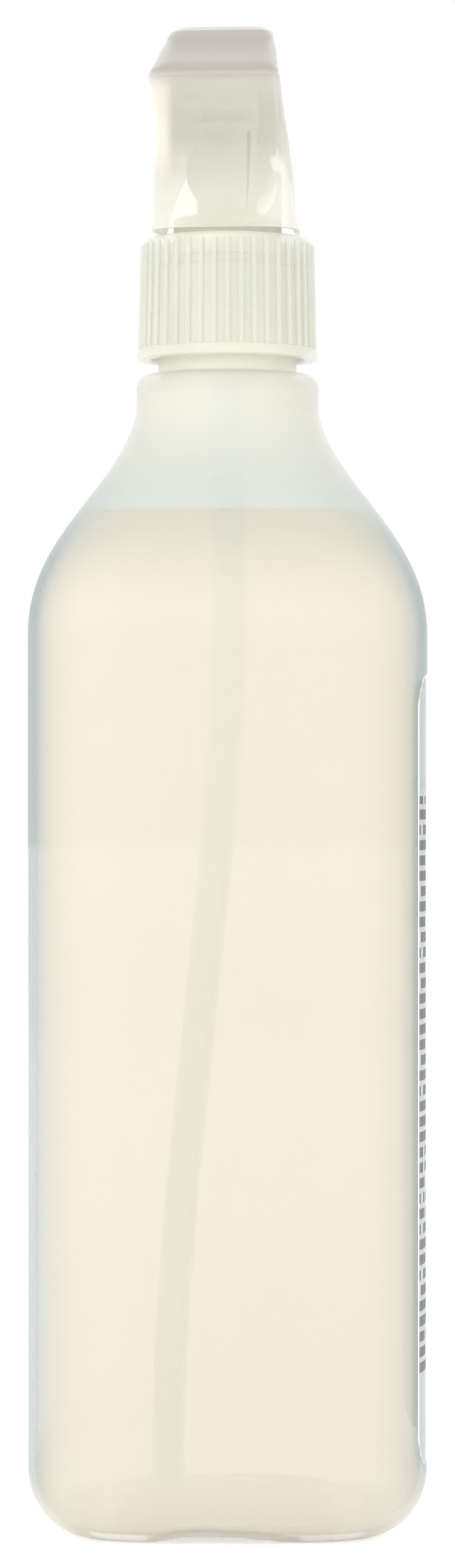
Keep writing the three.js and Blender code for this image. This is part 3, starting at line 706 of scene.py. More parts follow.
@dataclass(frozen=True)
class SealRubber:
    """Soft pale seal material with a dry, fine-grained face."""

    name: str = "soft_seal"
    colour: Colour = (0.66, 0.65, 0.61)
    shade: Colour = (0.58, 0.57, 0.54)

    def material(self) -> bpy.types.Material:
        """Builds the finish.

        Returns:
            A dull rubbery material.
        """
        shader = Shader(self.name)
        grain = shader.noise(0.4, 3.0)
        shader.bump(grain, 0.012)
        return shader.finish(
            Base_Color=shader.mixed(grain.smooth(0.35, 0.7), self.colour, self.shade),
            Roughness=grain * 0.16 + 0.6,
            IOR=1.45,
        )


@dataclass(frozen=True)
class DrawnSteel:
    """Drawn stainless wire and a ground ball: bright metal with fine marks."""

    name: str = "drawn_steel"
    colour: Colour = (0.66, 0.67, 0.69)
    shade: Colour = (0.56, 0.57, 0.59)

    def material(self) -> bpy.types.Material:
        """Builds the finish.

        Returns:
            A bright metal.
        """
        shader = Shader(self.name)
        marks = shader.noise(0.25, 3.0, (1.0, 0.2, 1.0))
        shader.bump(marks, 0.002)
        return shader.finish(
            Base_Color=shader.mixed(marks.smooth(0.3, 0.8), self.colour, self.shade),
            Roughness=marks * 0.14 + 0.17,
            Metallic=1.0,
        )


@dataclass(frozen=True)
class StudioPaper:
    """White paper floor that keeps the object's shadow and reads as white to the camera."""

    name: str = "studio_paper"
    colour: Colour = (0.92, 0.92, 0.92)
    fibre_colour: Colour = (0.9, 0.9, 0.9)
    lift: Colour = (0.5, 0.5, 0.5)

    def material(self) -> bpy.types.Material:
        """Builds the finish.

        Returns:
            A matt white material, a little lifted for what the camera sees directly.
        """
        shader = Shader(self.name)
        rays = shader.node("ShaderNodeLightPath", {}, {})
        seen = Value(shader, rays.outputs["Is Camera Ray"])
        for name in ("Is Glossy Ray", "Is Transmission Ray"):
            seen = seen.larger(Value(shader, rays.outputs[name]))
        fibre = shader.noise(2.0, 2.0)
        return shader.finish(
            Base_Color=shader.mixed(fibre * 0.1, self.colour, self.fibre_colour),
            Roughness=0.9,
            Emission_Color=shader.mixed(seen, (0.0, 0.0, 0.0), self.lift),
            Emission_Strength=1.0,
        )


def skin(
    name: str, rings: Sequence[np.ndarray], looped: bool = False, outer: int = 0
) -> bpy.types.Mesh:
    """Skins a row of rings that have equal numbers of points.

    Args:
        name: The mesh's name.
        rings: Arrays of points, in millimetres.
        looped: Whether the last ring joins the first; otherwise both ends are closed.
        outer: How many rings take the first material, where there is a second; 0 for all.

    Returns:
        A closed mesh in metres, facing outwards.
    """
    count = len(rings[0])
    points = np.concatenate(rings)
    faces: list[tuple[int, ...]] = []
    spans = len(rings) if looped else len(rings) - 1
    for k in range(spans):
        here, there = k * count, ((k + 1) % len(rings)) * count
        for i in range(count):
            j = (i + 1) % count
            faces.append((here + i, here + j, there + j, there + i))
    if not looped:
        ends = np.array([rings[0].mean(0), rings[-1].mean(0)])
        first, last = len(points), len(points) + 1
        points = np.concatenate([points, ends])
        top = (len(rings) - 1) * count
        for i in range(count):
            j = (i + 1) % count
            faces.append((first, j, i))
            faces.append((last, top + i, top + j))
    mesh = bpy.data.meshes.new(name)
    mesh.from_pydata((points * MM).tolist(), [], faces)
    if outer:
        first_end = len(points) - 2
        for index, face in enumerate(mesh.polygons):
            inside = index >= outer * count
            face.material_index = int(inside and face.vertices[0] != first_end)
    return tidied(mesh)


def tidied(mesh: bpy.types.Mesh) -> bpy.types.Mesh:
    """Merges doubled points and turns every face outwards.

    Args:
        mesh: A closed mesh.

    Returns:
        The same mesh.
    """
    work = bmesh.new()
    work.from_mesh(mesh)
    bmesh.ops.remove_doubles(work, verts=work.verts, dist=1e-7)
    bmesh.ops.recalc_face_normals(work, faces=work.faces)
    work.to_mesh(mesh)
    work.free()
    return mesh


def level(half_x: float, half_y: float, squareness: float, z: float, count: int) -> np.ndarray:
    """One level of the bottle: a superellipse with points evenly spread along it.

    Args:
        half_x: Half its size along X.
        half_y: Half its size along Y.
        squareness: 2 for an ellipse, and more for a boxier outline.
        z: Its height.
        count: Its number of points.

    Returns:
        The points, starting on +X.
    """
    angle = np.linspace(0.0, 2 * math.pi, OUTLINE_STEPS + 1)
    c, s = np.cos(angle), np.sin(angle)
    x = half_x * np.sign(c) * np.abs(c) ** (2 / squareness)
    y = half_y * np.sign(s) * np.abs(s) ** (2 / squareness)
    run = np.concatenate([[0.0], np.cumsum(np.hypot(np.diff(x), np.diff(y)))])
    at = np.linspace(0.0, run[-1], count, endpoint=False)
    return np.stack([np.interp(at, run, x), np.interp(at, run, y), np.full(count, z)], 1)


def circle(radius: float, z: float, count: int) -> np.ndarray:
    """A round level.

    Args:
        radius: Its radius.
        z: Its height.
        count: Its number of points.

    Returns:
        The points, starting on +X.
    """
    angle = np.linspace(0.0, 2 * math.pi, count, endpoint=False)
    x, y = radius * np.cos(angle), radius * np.sin(angle)
    return np.stack([x, y, np.full(count, z)], 1)


def turned(name: str, profile: Sequence[tuple[float, float]], count: int = 128) -> bpy.types.Mesh:
    """Turns a closed profile about the bottle's axis.

    Args:
        name: The mesh's name.
        profile: Pairs of radius and height, round the section.
        count: The number of steps round the axis.

    Returns:
        The closed mesh.
    """
    return skin(name, [circle(radius, z, count) for radius, z in profile], looped=True)


def arc(
    centre: tuple[float, float], radius: float, start: float, end: float, steps: int = 5
) -> list[tuple[float, float]]:
    """Points along an arc in a profile.

    Args:
        centre: Its centre.
        radius: Its radius.
        start: Its first angle, in degrees.
        end: Its last angle, in degrees.
        steps: How many steps it takes.

    Returns:
        The points.
    """
    angles = np.radians(np.linspace(start, end, steps + 1))
    return [(centre[0] + radius * math.cos(a), centre[1] + radius * math.sin(a)) for a in angles]


def linked(name: str, data: bpy.types.ID) -> bpy.types.Object:
    """Adds an object with a mesh, a lamp or a camera to the scene.

    Args:
        name: The object's name.
        data: What it holds.

    Returns:
        The new object, at the origin.
    """
    thing = bpy.data.objects.new(name, data)
    bpy.context.scene.collection.objects.link(thing)
    return thing


def shaded(mesh: bpy.types.Mesh, crease: float) -> None:
    """Shades a mesh smooth, with the edges above a crease angle in degrees kept sharp."""
    mesh.shade_smooth()
    mesh.set_sharp_from_angle(angle=math.radians(crease))


def made(mesh: bpy.types.Mesh, name: str, crease: float = 35.0) -> bpy.types.Object:
    """Puts a mesh in the scene with smooth shading between its creases.

    Args:
        mesh: The mesh.
        name: The object's name.
        crease: The angle from which an edge stays sharp, in degrees.

    Returns:
        The new object, at the origin.
    """
    shaded(mesh, crease)
    return linked(name, mesh)


def settled(thing: bpy.types.Object, crease: float = 35.0) -> bpy.types.Object:
    """Turns an object's modifiers into its plain mesh.

    Args:
        thing: An object with modifiers.
        crease: The angle from which an edge stays sharp, in degrees.

    Returns:
        The same object, with no modifiers.
    """
    graph = bpy.context.evaluated_depsgraph_get()
    mesh = bpy.data.meshes.new_from_object(thing.evaluated_get(graph))
    thing.modifiers.clear()
    thing.data = mesh
    shaded(mesh, crease)
    return thing


def bevelled(
    thing: bpy.types.Object, width: float, segments: int, limit: float, crease: float
) -> bpy.types.Object:
    """Rounds an object's edges.

    Args:
        thing: The object.
        width: The rounding, in millimetres.
        segments: How many strips it has.
        limit: The angle from which an edge is rounded, in degrees.
        crease: The angle from which an edge stays sharp in the shading, in degrees.

    Returns:
        The same object, with a plain mesh.
    """
    edge = thing.modifiers.new("edges", "BEVEL")
    edge.width = width * MM
    edge.segments = segments
    edge.limit_method = "ANGLE"
    edge.angle_limit = math.radians(limit)
    edge.use_clamp_overlap = True
    return settled(thing, crease)


def cut(thing: bpy.types.Object, tool: bpy.types.Mesh) -> bpy.types.Object:
    """Cuts a closed tool out of an object.

    Args:
        thing: The object.
        tool: The closed mesh to take away.

    Returns:
        The same object.
    """
    helper = linked("cutter", tool)
    step = thing.modifiers.new("cut", "BOOLEAN")
    step.operation = "DIFFERENCE"
    step.solver = "EXACT"
    step.object = helper
    bpy.context.view_layer.update()
    settled(thing)
    bpy.data.objects.remove(helper)
    return thing


def swung(points: np.ndarray, degrees: float) -> np.ndarray:
    """Turns points about the bottle's axis.

    Args:
        points: The points.
        degrees: The angle, counter-clockwise from above.

    Returns:
        The turned points.
    """
    c, s = math.cos(math.radians(degrees)), math.sin(math.radians(degrees))
    return points @ np.array([[c, s, 0.0], [-s, c, 0.0], [0.0, 0.0, 1.0]])


def dress(
    thing: bpy.types.Object,
    material: Union[bpy.types.Material, Sequence[bpy.types.Material]],
    body: Body,
    slot: Slot,
    *nodes: str,
) -> bpy.types.Object:
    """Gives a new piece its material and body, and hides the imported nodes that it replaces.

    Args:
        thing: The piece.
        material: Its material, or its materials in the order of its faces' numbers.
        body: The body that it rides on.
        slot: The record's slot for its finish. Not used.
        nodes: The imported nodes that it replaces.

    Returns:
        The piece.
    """
    numbers = [face.material_index for face in thing.data.polygons]
    thing.data.materials.clear()
    for finish in [material] if isinstance(material, bpy.types.Material) else material:
        thing.data.materials.append(finish)
    last = len(thing.data.materials) - 1
    thing.data.polygons.foreach_set("material_index", [min(n, last) for n in numbers])
    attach(thing, body.value)
    if nodes:
        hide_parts(*nodes)
    LOG.info("%s: %d faces", thing.name, len(thing.data.polygons))
    return thing


def softened(node: str, width: float) -> bpy.types.Object:
    """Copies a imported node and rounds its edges.

    Args:
        node: The node's name.
        width: The rounding, in millimetres.

    Returns:
        A new object beside the node.
    """
    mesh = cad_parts[node].data.copy()
    mesh.name = f"{node}_moulded"
    work = bmesh.new()
    work.from_mesh(mesh)
    bmesh.ops.remove_doubles(work, verts=work.verts, dist=2e-6)
    flat = math.radians(1.0)
    bmesh.ops.dissolve_limit(work, angle_limit=flat, verts=work.verts, edges=work.edges)
    work.to_mesh(mesh)
    work.free()
    if mesh.has_custom_normals:
        mesh.normals_split_custom_set([(0.0, 0.0, 0.0)] * len(mesh.loops))
    return bevelled(made(mesh, f"{node}_moulded"), width, 2, 38.0, 50.0)


class GeometryTree:
    """A Geometry Nodes tree whose sizes are named inputs."""

    def __init__(self, name: str, sizes: dict[str, float]) -> None:
        """Starts the tree.

        Args:
            name: The tree's name.
            sizes: Its inputs and their values, in metres or counts.
        """
        self.tree = bpy.data.node_groups.new(name, "GeometryNodeTree")
        self.sizes = sizes
        self.keys: dict[str, str] = {}
        for key, size in sizes.items():
            kind = "NodeSocketInt" if isinstance(size, int) else "NodeSocketFloat"
            socket = self.tree.interface.new_socket(key, in_out="INPUT", socket_type=kind)
            self.keys[key] = socket.identifier
        self.tree.interface.new_socket(
            "Geometry", in_out="OUTPUT", socket_type="NodeSocketGeometry"
        )
        self.inputs = self.tree.nodes.new("NodeGroupInput")

    def size(self, key: str) -> bpy.types.NodeSocket:
        """The socket of one named size."""
        return Shader.pick(self.inputs.outputs, self.keys[key])

    def node(self, kind: str, settings: dict[str, object], inputs: dict) -> bpy.types.Node:
        """Adds one node.

        Args:
            kind: The node's type.
            settings: Its settings.
            inputs: Its inputs' values or links.

        Returns:
            The node.
        """
        node = self.tree.nodes.new(kind)
        for key, setting in settings.items():
            setattr(node, key, setting)
        for key, value in inputs.items():
            socket = Shader.pick(node.inputs, key)
            if isinstance(value, bpy.types.NodeSocket):
                self.tree.links.new(value, socket)
            else:
                socket.default_value = value
        return node

    def maths(self, operation: str, first: object, second: object) -> bpy.types.NodeSocket:
        """The result of one Math node on two values or sockets."""
        settings = {"operation": operation}
        return self.node("ShaderNodeMath", settings, {0: first, 1: second}).outputs[0]

    def raised(self, geometry: bpy.types.NodeSocket, height: object) -> bpy.types.NodeSocket:
        """The geometry moved up by a height."""
        shift = self.node("ShaderNodeCombineXYZ", {}, {"Z": height})
        inputs = {"Geometry": geometry, "Translation": shift.outputs[0]}
        return self.node("GeometryNodeTransform", {}, inputs).outputs[0]

    def grown(
        self, name: str, last: bpy.types.NodeSocket, material: bpy.types.Material
    ) -> bpy.types.Object:
        """Ends the tree, evaluates it and keeps the result as a plain mesh.

        Args:
            name: The new object's name.
            last: The geometry to keep.
            material: Its material.

        Returns:
            The object, with no modifiers.
        """
        plain = self.node("GeometryNodeRealizeInstances", {}, {0: last})
        inputs = {"Geometry": plain.outputs[0], "Material": material}
        coated = self.node("GeometryNodeSetMaterial", {}, inputs)
        end = self.tree.nodes.new("NodeGroupOutput")
        self.tree.links.new(coated.outputs[0], end.inputs[0])
        thing = linked(name, bpy.data.meshes.new(name))
        step = thing.modifiers.new("grow", "NODES")
        step.node_group = self.tree
        for key, size in self.sizes.items():
            step[self.keys[key]] = size
        bpy.context.view_layer.update()
        settled(thing)
        tidied(thing.data)
        return thing


@dataclass
class BottleForm:
    """The bottle's sizes in millimetres, and its outline at any height."""

    half_depth: float = 35.7
    half_width: float = 43.0
    squareness: float = 5.6
    body_top: float = 160.0
    wall: float = 1.2
    corner_reach: float = 10.6
    corner_rise: float = 12.0
    foot: float = 5.0
    push_up: float = 4.0
    pinch_left: float = 13.8
    pinch_right: float = 12.5
    pinch_apex: float = -4.9
    pinch_height: float = 1.7
    shoulder_rise: float = 41.0
    lower_pull: float = 0.431
    upper_pull: float = 0.659
    upper_spread: float = 0.155
    collar_radius: float = 16.6
    collar_height: float = 6.8
    collar_edge: float = 2.4
    neck_radius: float = 12.6
    neck_bore: float = 10.7
    neck_height: float = 19.5
    label_half: float = 33.5
    label_low: float = 13.0
    label_high: float = 152.0
    label_corner: float = 6.0
    panel_depth: float = 0.6
    panel_margin: float = 0.6
    panel_edge: Span = (0.15, 0.7)
    fill: float = 181.8
    points: int = 220

    @property
    def shoulder_top(self) -> float:
        """Where the shoulder meets the collar."""
        return self.body_top + self.shoulder_rise

    @property
    def collar_top(self) -> float:
        """The ledge under the closure."""
        return self.shoulder_top + self.collar_height

    @property
    def neck_top(self) -> float:
        """The rim that the gasket seals on."""
        return self.collar_top + self.neck_height

    def pinch(self, x: np.ndarray) -> np.ndarray:
        """The height of the channel along the parting line, at each x.

        Args:
            x: Places across the base.

        Returns:
            The channel's height above the floor, 0 outside it.
        """
        left, right = self.pinch_apex + self.pinch_left, self.pinch_right - self.pinch_apex
        span = np.where(x < self.pinch_apex, left, right)
        share = np.clip(np.abs(x - self.pinch_apex) / span, 0.0, 1.0)
        return self.pinch_height * (1.0 - share**2) ** 1.3

    def shoulder(self, share: float) -> tuple[float, float]:
        """A point of the shoulder's curve.

        Args:
            share: How far along the curve.

        Returns:
            How much of the body's spread is left, and the height.
        """
        t, u = share, 1.0 - share
        spread = u**3 + 3 * u * u * t + 3 * u * t * t * self.upper_spread
        rise = 3 * u * u * t * self.lower_pull + 3 * u * t * t * self.upper_pull + t**3
        return spread, self.body_top + self.shoulder_rise * rise

    def heights(self) -> list[float]:
        """The heights of the levels along the straight part of the body.

        Returns:
            Heights that are closer together at the label panel's ends.
        """
        low = self.label_low - self.panel_margin
        high = self.label_high + self.panel_margin
        near = [low + d for d in (0.3, 0.7, 1.2, 2.0, 3.0, 4.2, 5.6, 7.5)]
        far = [high - d for d in (7.5, 5.6, 4.2, 3.0, 2.0, 1.3, 0.8, 0.4, 0.0, -0.4, -0.9, -2.5)]
        middle = list(np.linspace(near[-1] + 4.0, far[0] - 4.0, 24))
        return [*near, *middle, *far, high + 4.5]

    def ring(self, drawn: float, z: float) -> np.ndarray:
        """A level of the body's outline, drawn in by some millimetres."""
        depth, width = self.half_depth - drawn, self.half_width - drawn
        return level(depth, width, self.squareness, z, self.points)

    def levels(self, inset: float) -> list[np.ndarray]:
        """The skin from the foot to the top of the shoulder, moved inwards.

        Args:
            inset: How far inwards.

        Returns:
            The levels from low to high.
        """
        depth, width = self.half_depth - inset, self.half_width - inset
        reach, rise = self.corner_reach - inset, self.corner_rise - inset
        collar = self.collar_radius - inset
        rings = []
        for angle in np.linspace(0.0, math.pi / 2, 13):
            drawn = reach * (1.0 - math.sin(angle))
            z = inset + rise * (1.0 - math.cos(angle))
            rings.append(self.ring(inset + drawn, z))
        rings.extend(self.ring(inset, z) for z in self.heights())
        for share in np.linspace(0.0, 1.0, 42):
            spread, z = self.shoulder(share)
            half_x, half_y = (collar + (half - collar) * spread for half in (depth, width))
            square = 2.0 + (self.squareness - 2.0) * spread
            rings.append(level(half_x, half_y, square, z, self.points))
        return rings

    def panel(self, points: np.ndarray) -> np.ndarray:
        """Sinks the label's panel into the labelled face.

        Args:
            points: Points of the outer skin.

        Returns:
            The points with the panel sunk.
        """
        half = np.array([
            self.label_half + self.panel_margin,
            (self.label_high - self.label_low) / 2 + self.panel_margin,
        ])
        middle = (self.label_high + self.label_low) / 2
        corner = self.label_corner + self.panel_margin
        offset = np.abs(np.stack([points[:, 1], points[:, 2] - middle], 1)) - (half - corner)
        outside = np.linalg.norm(np.maximum(offset, 0.0), axis=1)
        distance = outside + np.minimum(offset.max(1), 0.0) - corner
        share = np.clip((self.panel_edge[0] - distance) / self.panel_edge[1], 0.0, 1.0)
        sunk = self.panel_depth * share * share * (3.0 - 2.0 * share) * (points[:, 0] > 0.0)
        moved = points.copy()
        moved[:, 0] -= sunk
        return moved

    def base(self, inset: float, foot: float) -> list[np.ndarray]:
        """The underside from its middle out to the foot.

        Args:
            inset: How far the skin is moved inwards.
            foot: The height of the foot's ring.

        Returns:
            The levels from the middle outwards.
        """
        edge = self.corner_reach + self.foot - inset
        depth, width = self.half_depth - edge, self.half_width - edge
        rings = []
        for angle in np.linspace(1.36, 0.0, 15):
            share = math.cos(angle)
            square = 2.0 + (self.squareness - 2.0) * share
            z = foot + self.push_up * math.sin(angle) / math.sin(1.4)
            rings.append(level(depth * share, width * share, square, z, self.points))
        for share in (0.3, 0.65):
            drawn = edge - (edge - self.corner_reach + inset) * share
            rings.append(self.ring(drawn, foot))
        return rings

    def lifted(self, rings: Sequence[np.ndarray], inset: float) -> list[np.ndarray]:
        """Raises what lies below the parting line's channel.

        Args:
            rings: Levels of the base and its corner.
            inset: The wall's thickness over the channel.

        Returns:
            The raised levels.
        """
        raised = []
        for points in rings:
            moved = points.copy()
            moved[:, 2] = np.maximum(moved[:, 2], self.pinch(points[:, 0]) + inset)
            raised.append(moved)
        return raised

    def mesh(self) -> bpy.types.Mesh:
        """The whole bottle: outer skin, rim and inner skin in one closed shell."""
        outer = self.lifted([*self.base(0.0, 0.0), *self.levels(0.0)], 0.0)
        outer = [self.panel(points) for points in outer]
        for angle in np.radians(np.linspace(0.0, 90.0, 9)):
            radius = self.collar_radius - self.collar_edge * (1.0 - math.cos(angle))
            z = self.collar_top - self.collar_edge * (1.0 - math.sin(angle))
            outer.append(circle(radius, z, self.points))
        neck = [
            (self.neck_radius + 0.5, self.collar_top),
            (self.neck_radius + 0.12, self.collar_top + 0.12),
            (self.neck_radius, self.collar_top + 0.5),
            *[(self.neck_radius, self.collar_top + step) for step in (6.0, 12.0, 18.8)],
            (self.neck_radius - 0.15, self.neck_top - 0.2),
            (self.neck_radius - 0.5, self.neck_top),
            (self.neck_bore + 0.5, self.neck_top),
            (self.neck_bore + 0.12, self.neck_top - 0.2),
            *[(self.neck_bore, self.neck_top - step) for step in (0.7, 6.0, 12.0)],
        ]
        outer.extend(circle(radius, z, self.points) for radius, z in neck)
        collar = self.collar_radius - self.wall
        slope = (collar - self.neck_bore) / 2
        inner = self.lifted([*self.base(self.wall, self.wall), *self.levels(self.wall)], self.wall)
        inner.append(circle(collar, self.collar_top - self.wall - slope, self.points))
        inner.append(circle(self.neck_bore, self.collar_top - self.wall + slope, self.points))
        return skin("bottle_wall", [*outer, *reversed(inner)], outer=len(outer) - 5)

    def liquid(self) -> bpy.types.Mesh:
        """The liquid, with its surface drawn up a little at the wall."""
        inset = self.wall + 0.3
        rings = self.lifted([*self.base(inset, inset), *self.levels(inset)], inset)
        below = [points for points in rings if points[0, 2] < self.fill - 0.4]
        top = rings[len(below)]
        share = (self.fill - below[-1][0, 2]) / (top[0, 2] - below[-1][0, 2])
        shore = below[-1] + (top - below[-1]) * share
        surface = []
        for shrink, rise in ((1.0, 0.0), (0.985, -0.25), (0.96, -0.42), (0.92, -0.5), (0.5, -0.5)):
            points = shore * np.array([shrink, shrink, 1.0])
            points[:, 2] += rise
            surface.append(points)
        return skin("liquid", [*below, *surface])


@dataclass
class DipTube:
    """The tube that hangs from the pump and leans to one side on its way down."""

    radius: float = 2.95
    bore: float = 2.15
    top: float = 227.2
    end: float = 6.0
    lean: float = 11.0
    sides: int = 40

    def path(self, per_span: int = 16) -> np.ndarray:
        """The tube's middle line.

        Args:
            per_span: Steps between two of its set points.

        Returns:
            Points as x and z.
        """
        lean = self.lean
        stops = [(0.0, self.top), (0.0, 200.0), (0.5, 165.0), (-0.8, 135.0)]
        stops += [(-0.42 * lean, 95.0), (-0.78 * lean, 55.0), (-0.96 * lean, 25.0)]
        stops += [(-lean, self.end)]
        points = np.array(stops)
        before, after = 2 * points[0] - points[1], 2 * points[-1] - points[-2]
        padded = np.concatenate([[before], points, [after]])
        line = []
        for i in range(1, len(padded) - 2):
            a, b, c, d = padded[i - 1 : i + 3]
            ab, bc, cd = (math.sqrt(np.linalg.norm(q - p)) for p, q in ((a, b), (b, c), (c, d)))
            leave = ((b - a) / ab - (c - a) / (ab + bc) + (c - b) / bc) * bc
            meet = ((c - b) / bc - (d - b) / (bc + cd) + (d - c) / cd) * bc
            for t in np.linspace(0.0, 1.0, per_span, endpoint=False):
                line.append(
                    (2 * t**3 - 3 * t**2 + 1) * b
                    + (t**3 - 2 * t**2 + t) * leave
                    + (3 * t**2 - 2 * t**3) * c
                    + (t**3 - t**2) * meet
                )
        return np.array([*line, points[-1]])

    def swept(self, radius: float) -> list[np.ndarray]:
        """Rings of one radius along the middle line.

        Args:
            radius: Their radius.

        Returns:
            The rings from the top down.
        """
        line = self.path()
        ahead = np.gradient(line, axis=0)
        ahead /= np.linalg.norm(ahead, axis=1, keepdims=True)
        angle = np.linspace(0.0, 2 * math.pi, self.sides, endpoint=False)
        rings = []
        for (x, z), (dx, dz) in zip(line, ahead):
            across, along = radius * np.cos(angle), radius * np.sin(angle)
            rings.append(np.stack([x + across * dz, along, z - across * dx], 1))
        return rings

    def mesh(self) -> bpy.types.Mesh:
        """The hollow tube."""
        outer, inner = self.swept(self.radius), self.swept(self.bore)
        return skin("dip_tube", [*outer, *reversed(inner)], looped=True)


@dataclass
class Container:
    """The bottle with its thread, its liquid and its label."""

    form: BottleForm
    thread_start: float = 7.5
    thread_sink: float = 0.1
    thread_depth: float = 1.0
    thread_turns: float = 1.35
    thread_pitch: float = 4.233

    def build(self) -> None:
        """Builds and dresses every piece of the container."""
        form = self.form
        wall = OuterWall().material()
        walls = [wall, InnerWall(fill=form.fill).material()]
        bottle = made(form.mesh(), "bottle_shell", 40.0)
        dress(bottle, walls, Body.BOTTLE, Slot.BOTTLE_WALL, "bottle")
        thread = self.thread(wall)
        dress(thread, wall, Body.BOTTLE, Slot.BOTTLE_WALL)
        liquid = made(form.liquid(), "liquid_fill", 40.0)
        dress(liquid, PaleLiquid().material(), Body.BOTTLE, Slot.LIQUID, "cleaning_liquid")
        label = made(self.label(), "face_label", 40.0)
        dress(label, PrintedFilm().material(), Body.BOTTLE, Slot.LABEL, "back_label")

    def thread(self, material: bpy.types.Material) -> bpy.types.Object:
        """The neck's thread, which follows a helix.

        Args:
            material: The wall's material.

        Returns:
            The thread as a plain mesh.
        """
        form = self.form
        tree = GeometryTree(
            "neck_thread",
            {
                "Radius": (form.neck_radius - self.thread_sink) * MM,
                "Turns": self.thread_turns,
                "Height": self.thread_turns * self.thread_pitch * MM,
                "Depth": self.thread_depth * MM,
                "Start": (form.collar_top + self.thread_start) * MM,
            },
        )
        helix = tree.node(
            "GeometryNodeCurveSpiral",
            {},
            {
                "Resolution": 96,
                "Rotations": tree.size("Turns"),
                "Start Radius": tree.size("Radius"),
                "End Radius": tree.size("Radius"),
                "Height": tree.size("Height"),
            },
        )
        section = tree.node(
            "GeometryNodeCurvePrimitiveCircle",
            {},
            {"Resolution": 12, "Radius": tree.size("Depth")},
        )
        inputs = {"Curve": helix.outputs[0], "Profile Curve": section.outputs[0], "Fill Caps": True}
        ridge = tree.node("GeometryNodeCurveToMesh", {}, inputs)
        placed = tree.raised(ridge.outputs[0], tree.size("Start"))
        return tree.grown("neck_thread", placed, material)

    def label(self) -> bpy.types.Mesh:
        """The label: a thin film that follows the panel's floor.

        Returns:
            A closed film with rounded corners.
        """
        form = self.form
        ends = [0.0, 0.15, 0.5, 1.0, 1.7, 2.6, 3.7, 5.0, form.label_corner]
        low = [form.label_low + end for end in ends]
        high = [form.label_high - end for end in reversed(ends)]
        rows = [*low, *np.linspace(low[-1] + 6.0, high[0] - 6.0, 20), *high]
        sheets = []
        for inset in (form.panel_depth - 0.4, form.panel_depth - 0.2):
            sheet = []
            for z in rows:
                near = min(z - form.label_low, form.label_high - z, form.label_corner)
                back = form.label_corner - near
                drawn = form.label_corner - math.sqrt(max(form.label_corner**2 - back**2, 0.0))
                y = np.linspace(-1.0, 1.0, 61) * (form.label_half - drawn)
                share = np.abs(y / (form.half_width - inset)) ** form.squareness
                x = (form.half_depth - inset) * (1.0 - share) ** (1.0 / form.squareness)
                sheet.append(np.stack([x, y, np.full(len(y), z)], 1))
            sheets.append(np.array(sheet))
        face, back = sheets
        rings = [np.concatenate([a, b[::-1]]) for a, b in zip(face, back)]
        return skin("face_label", rings)


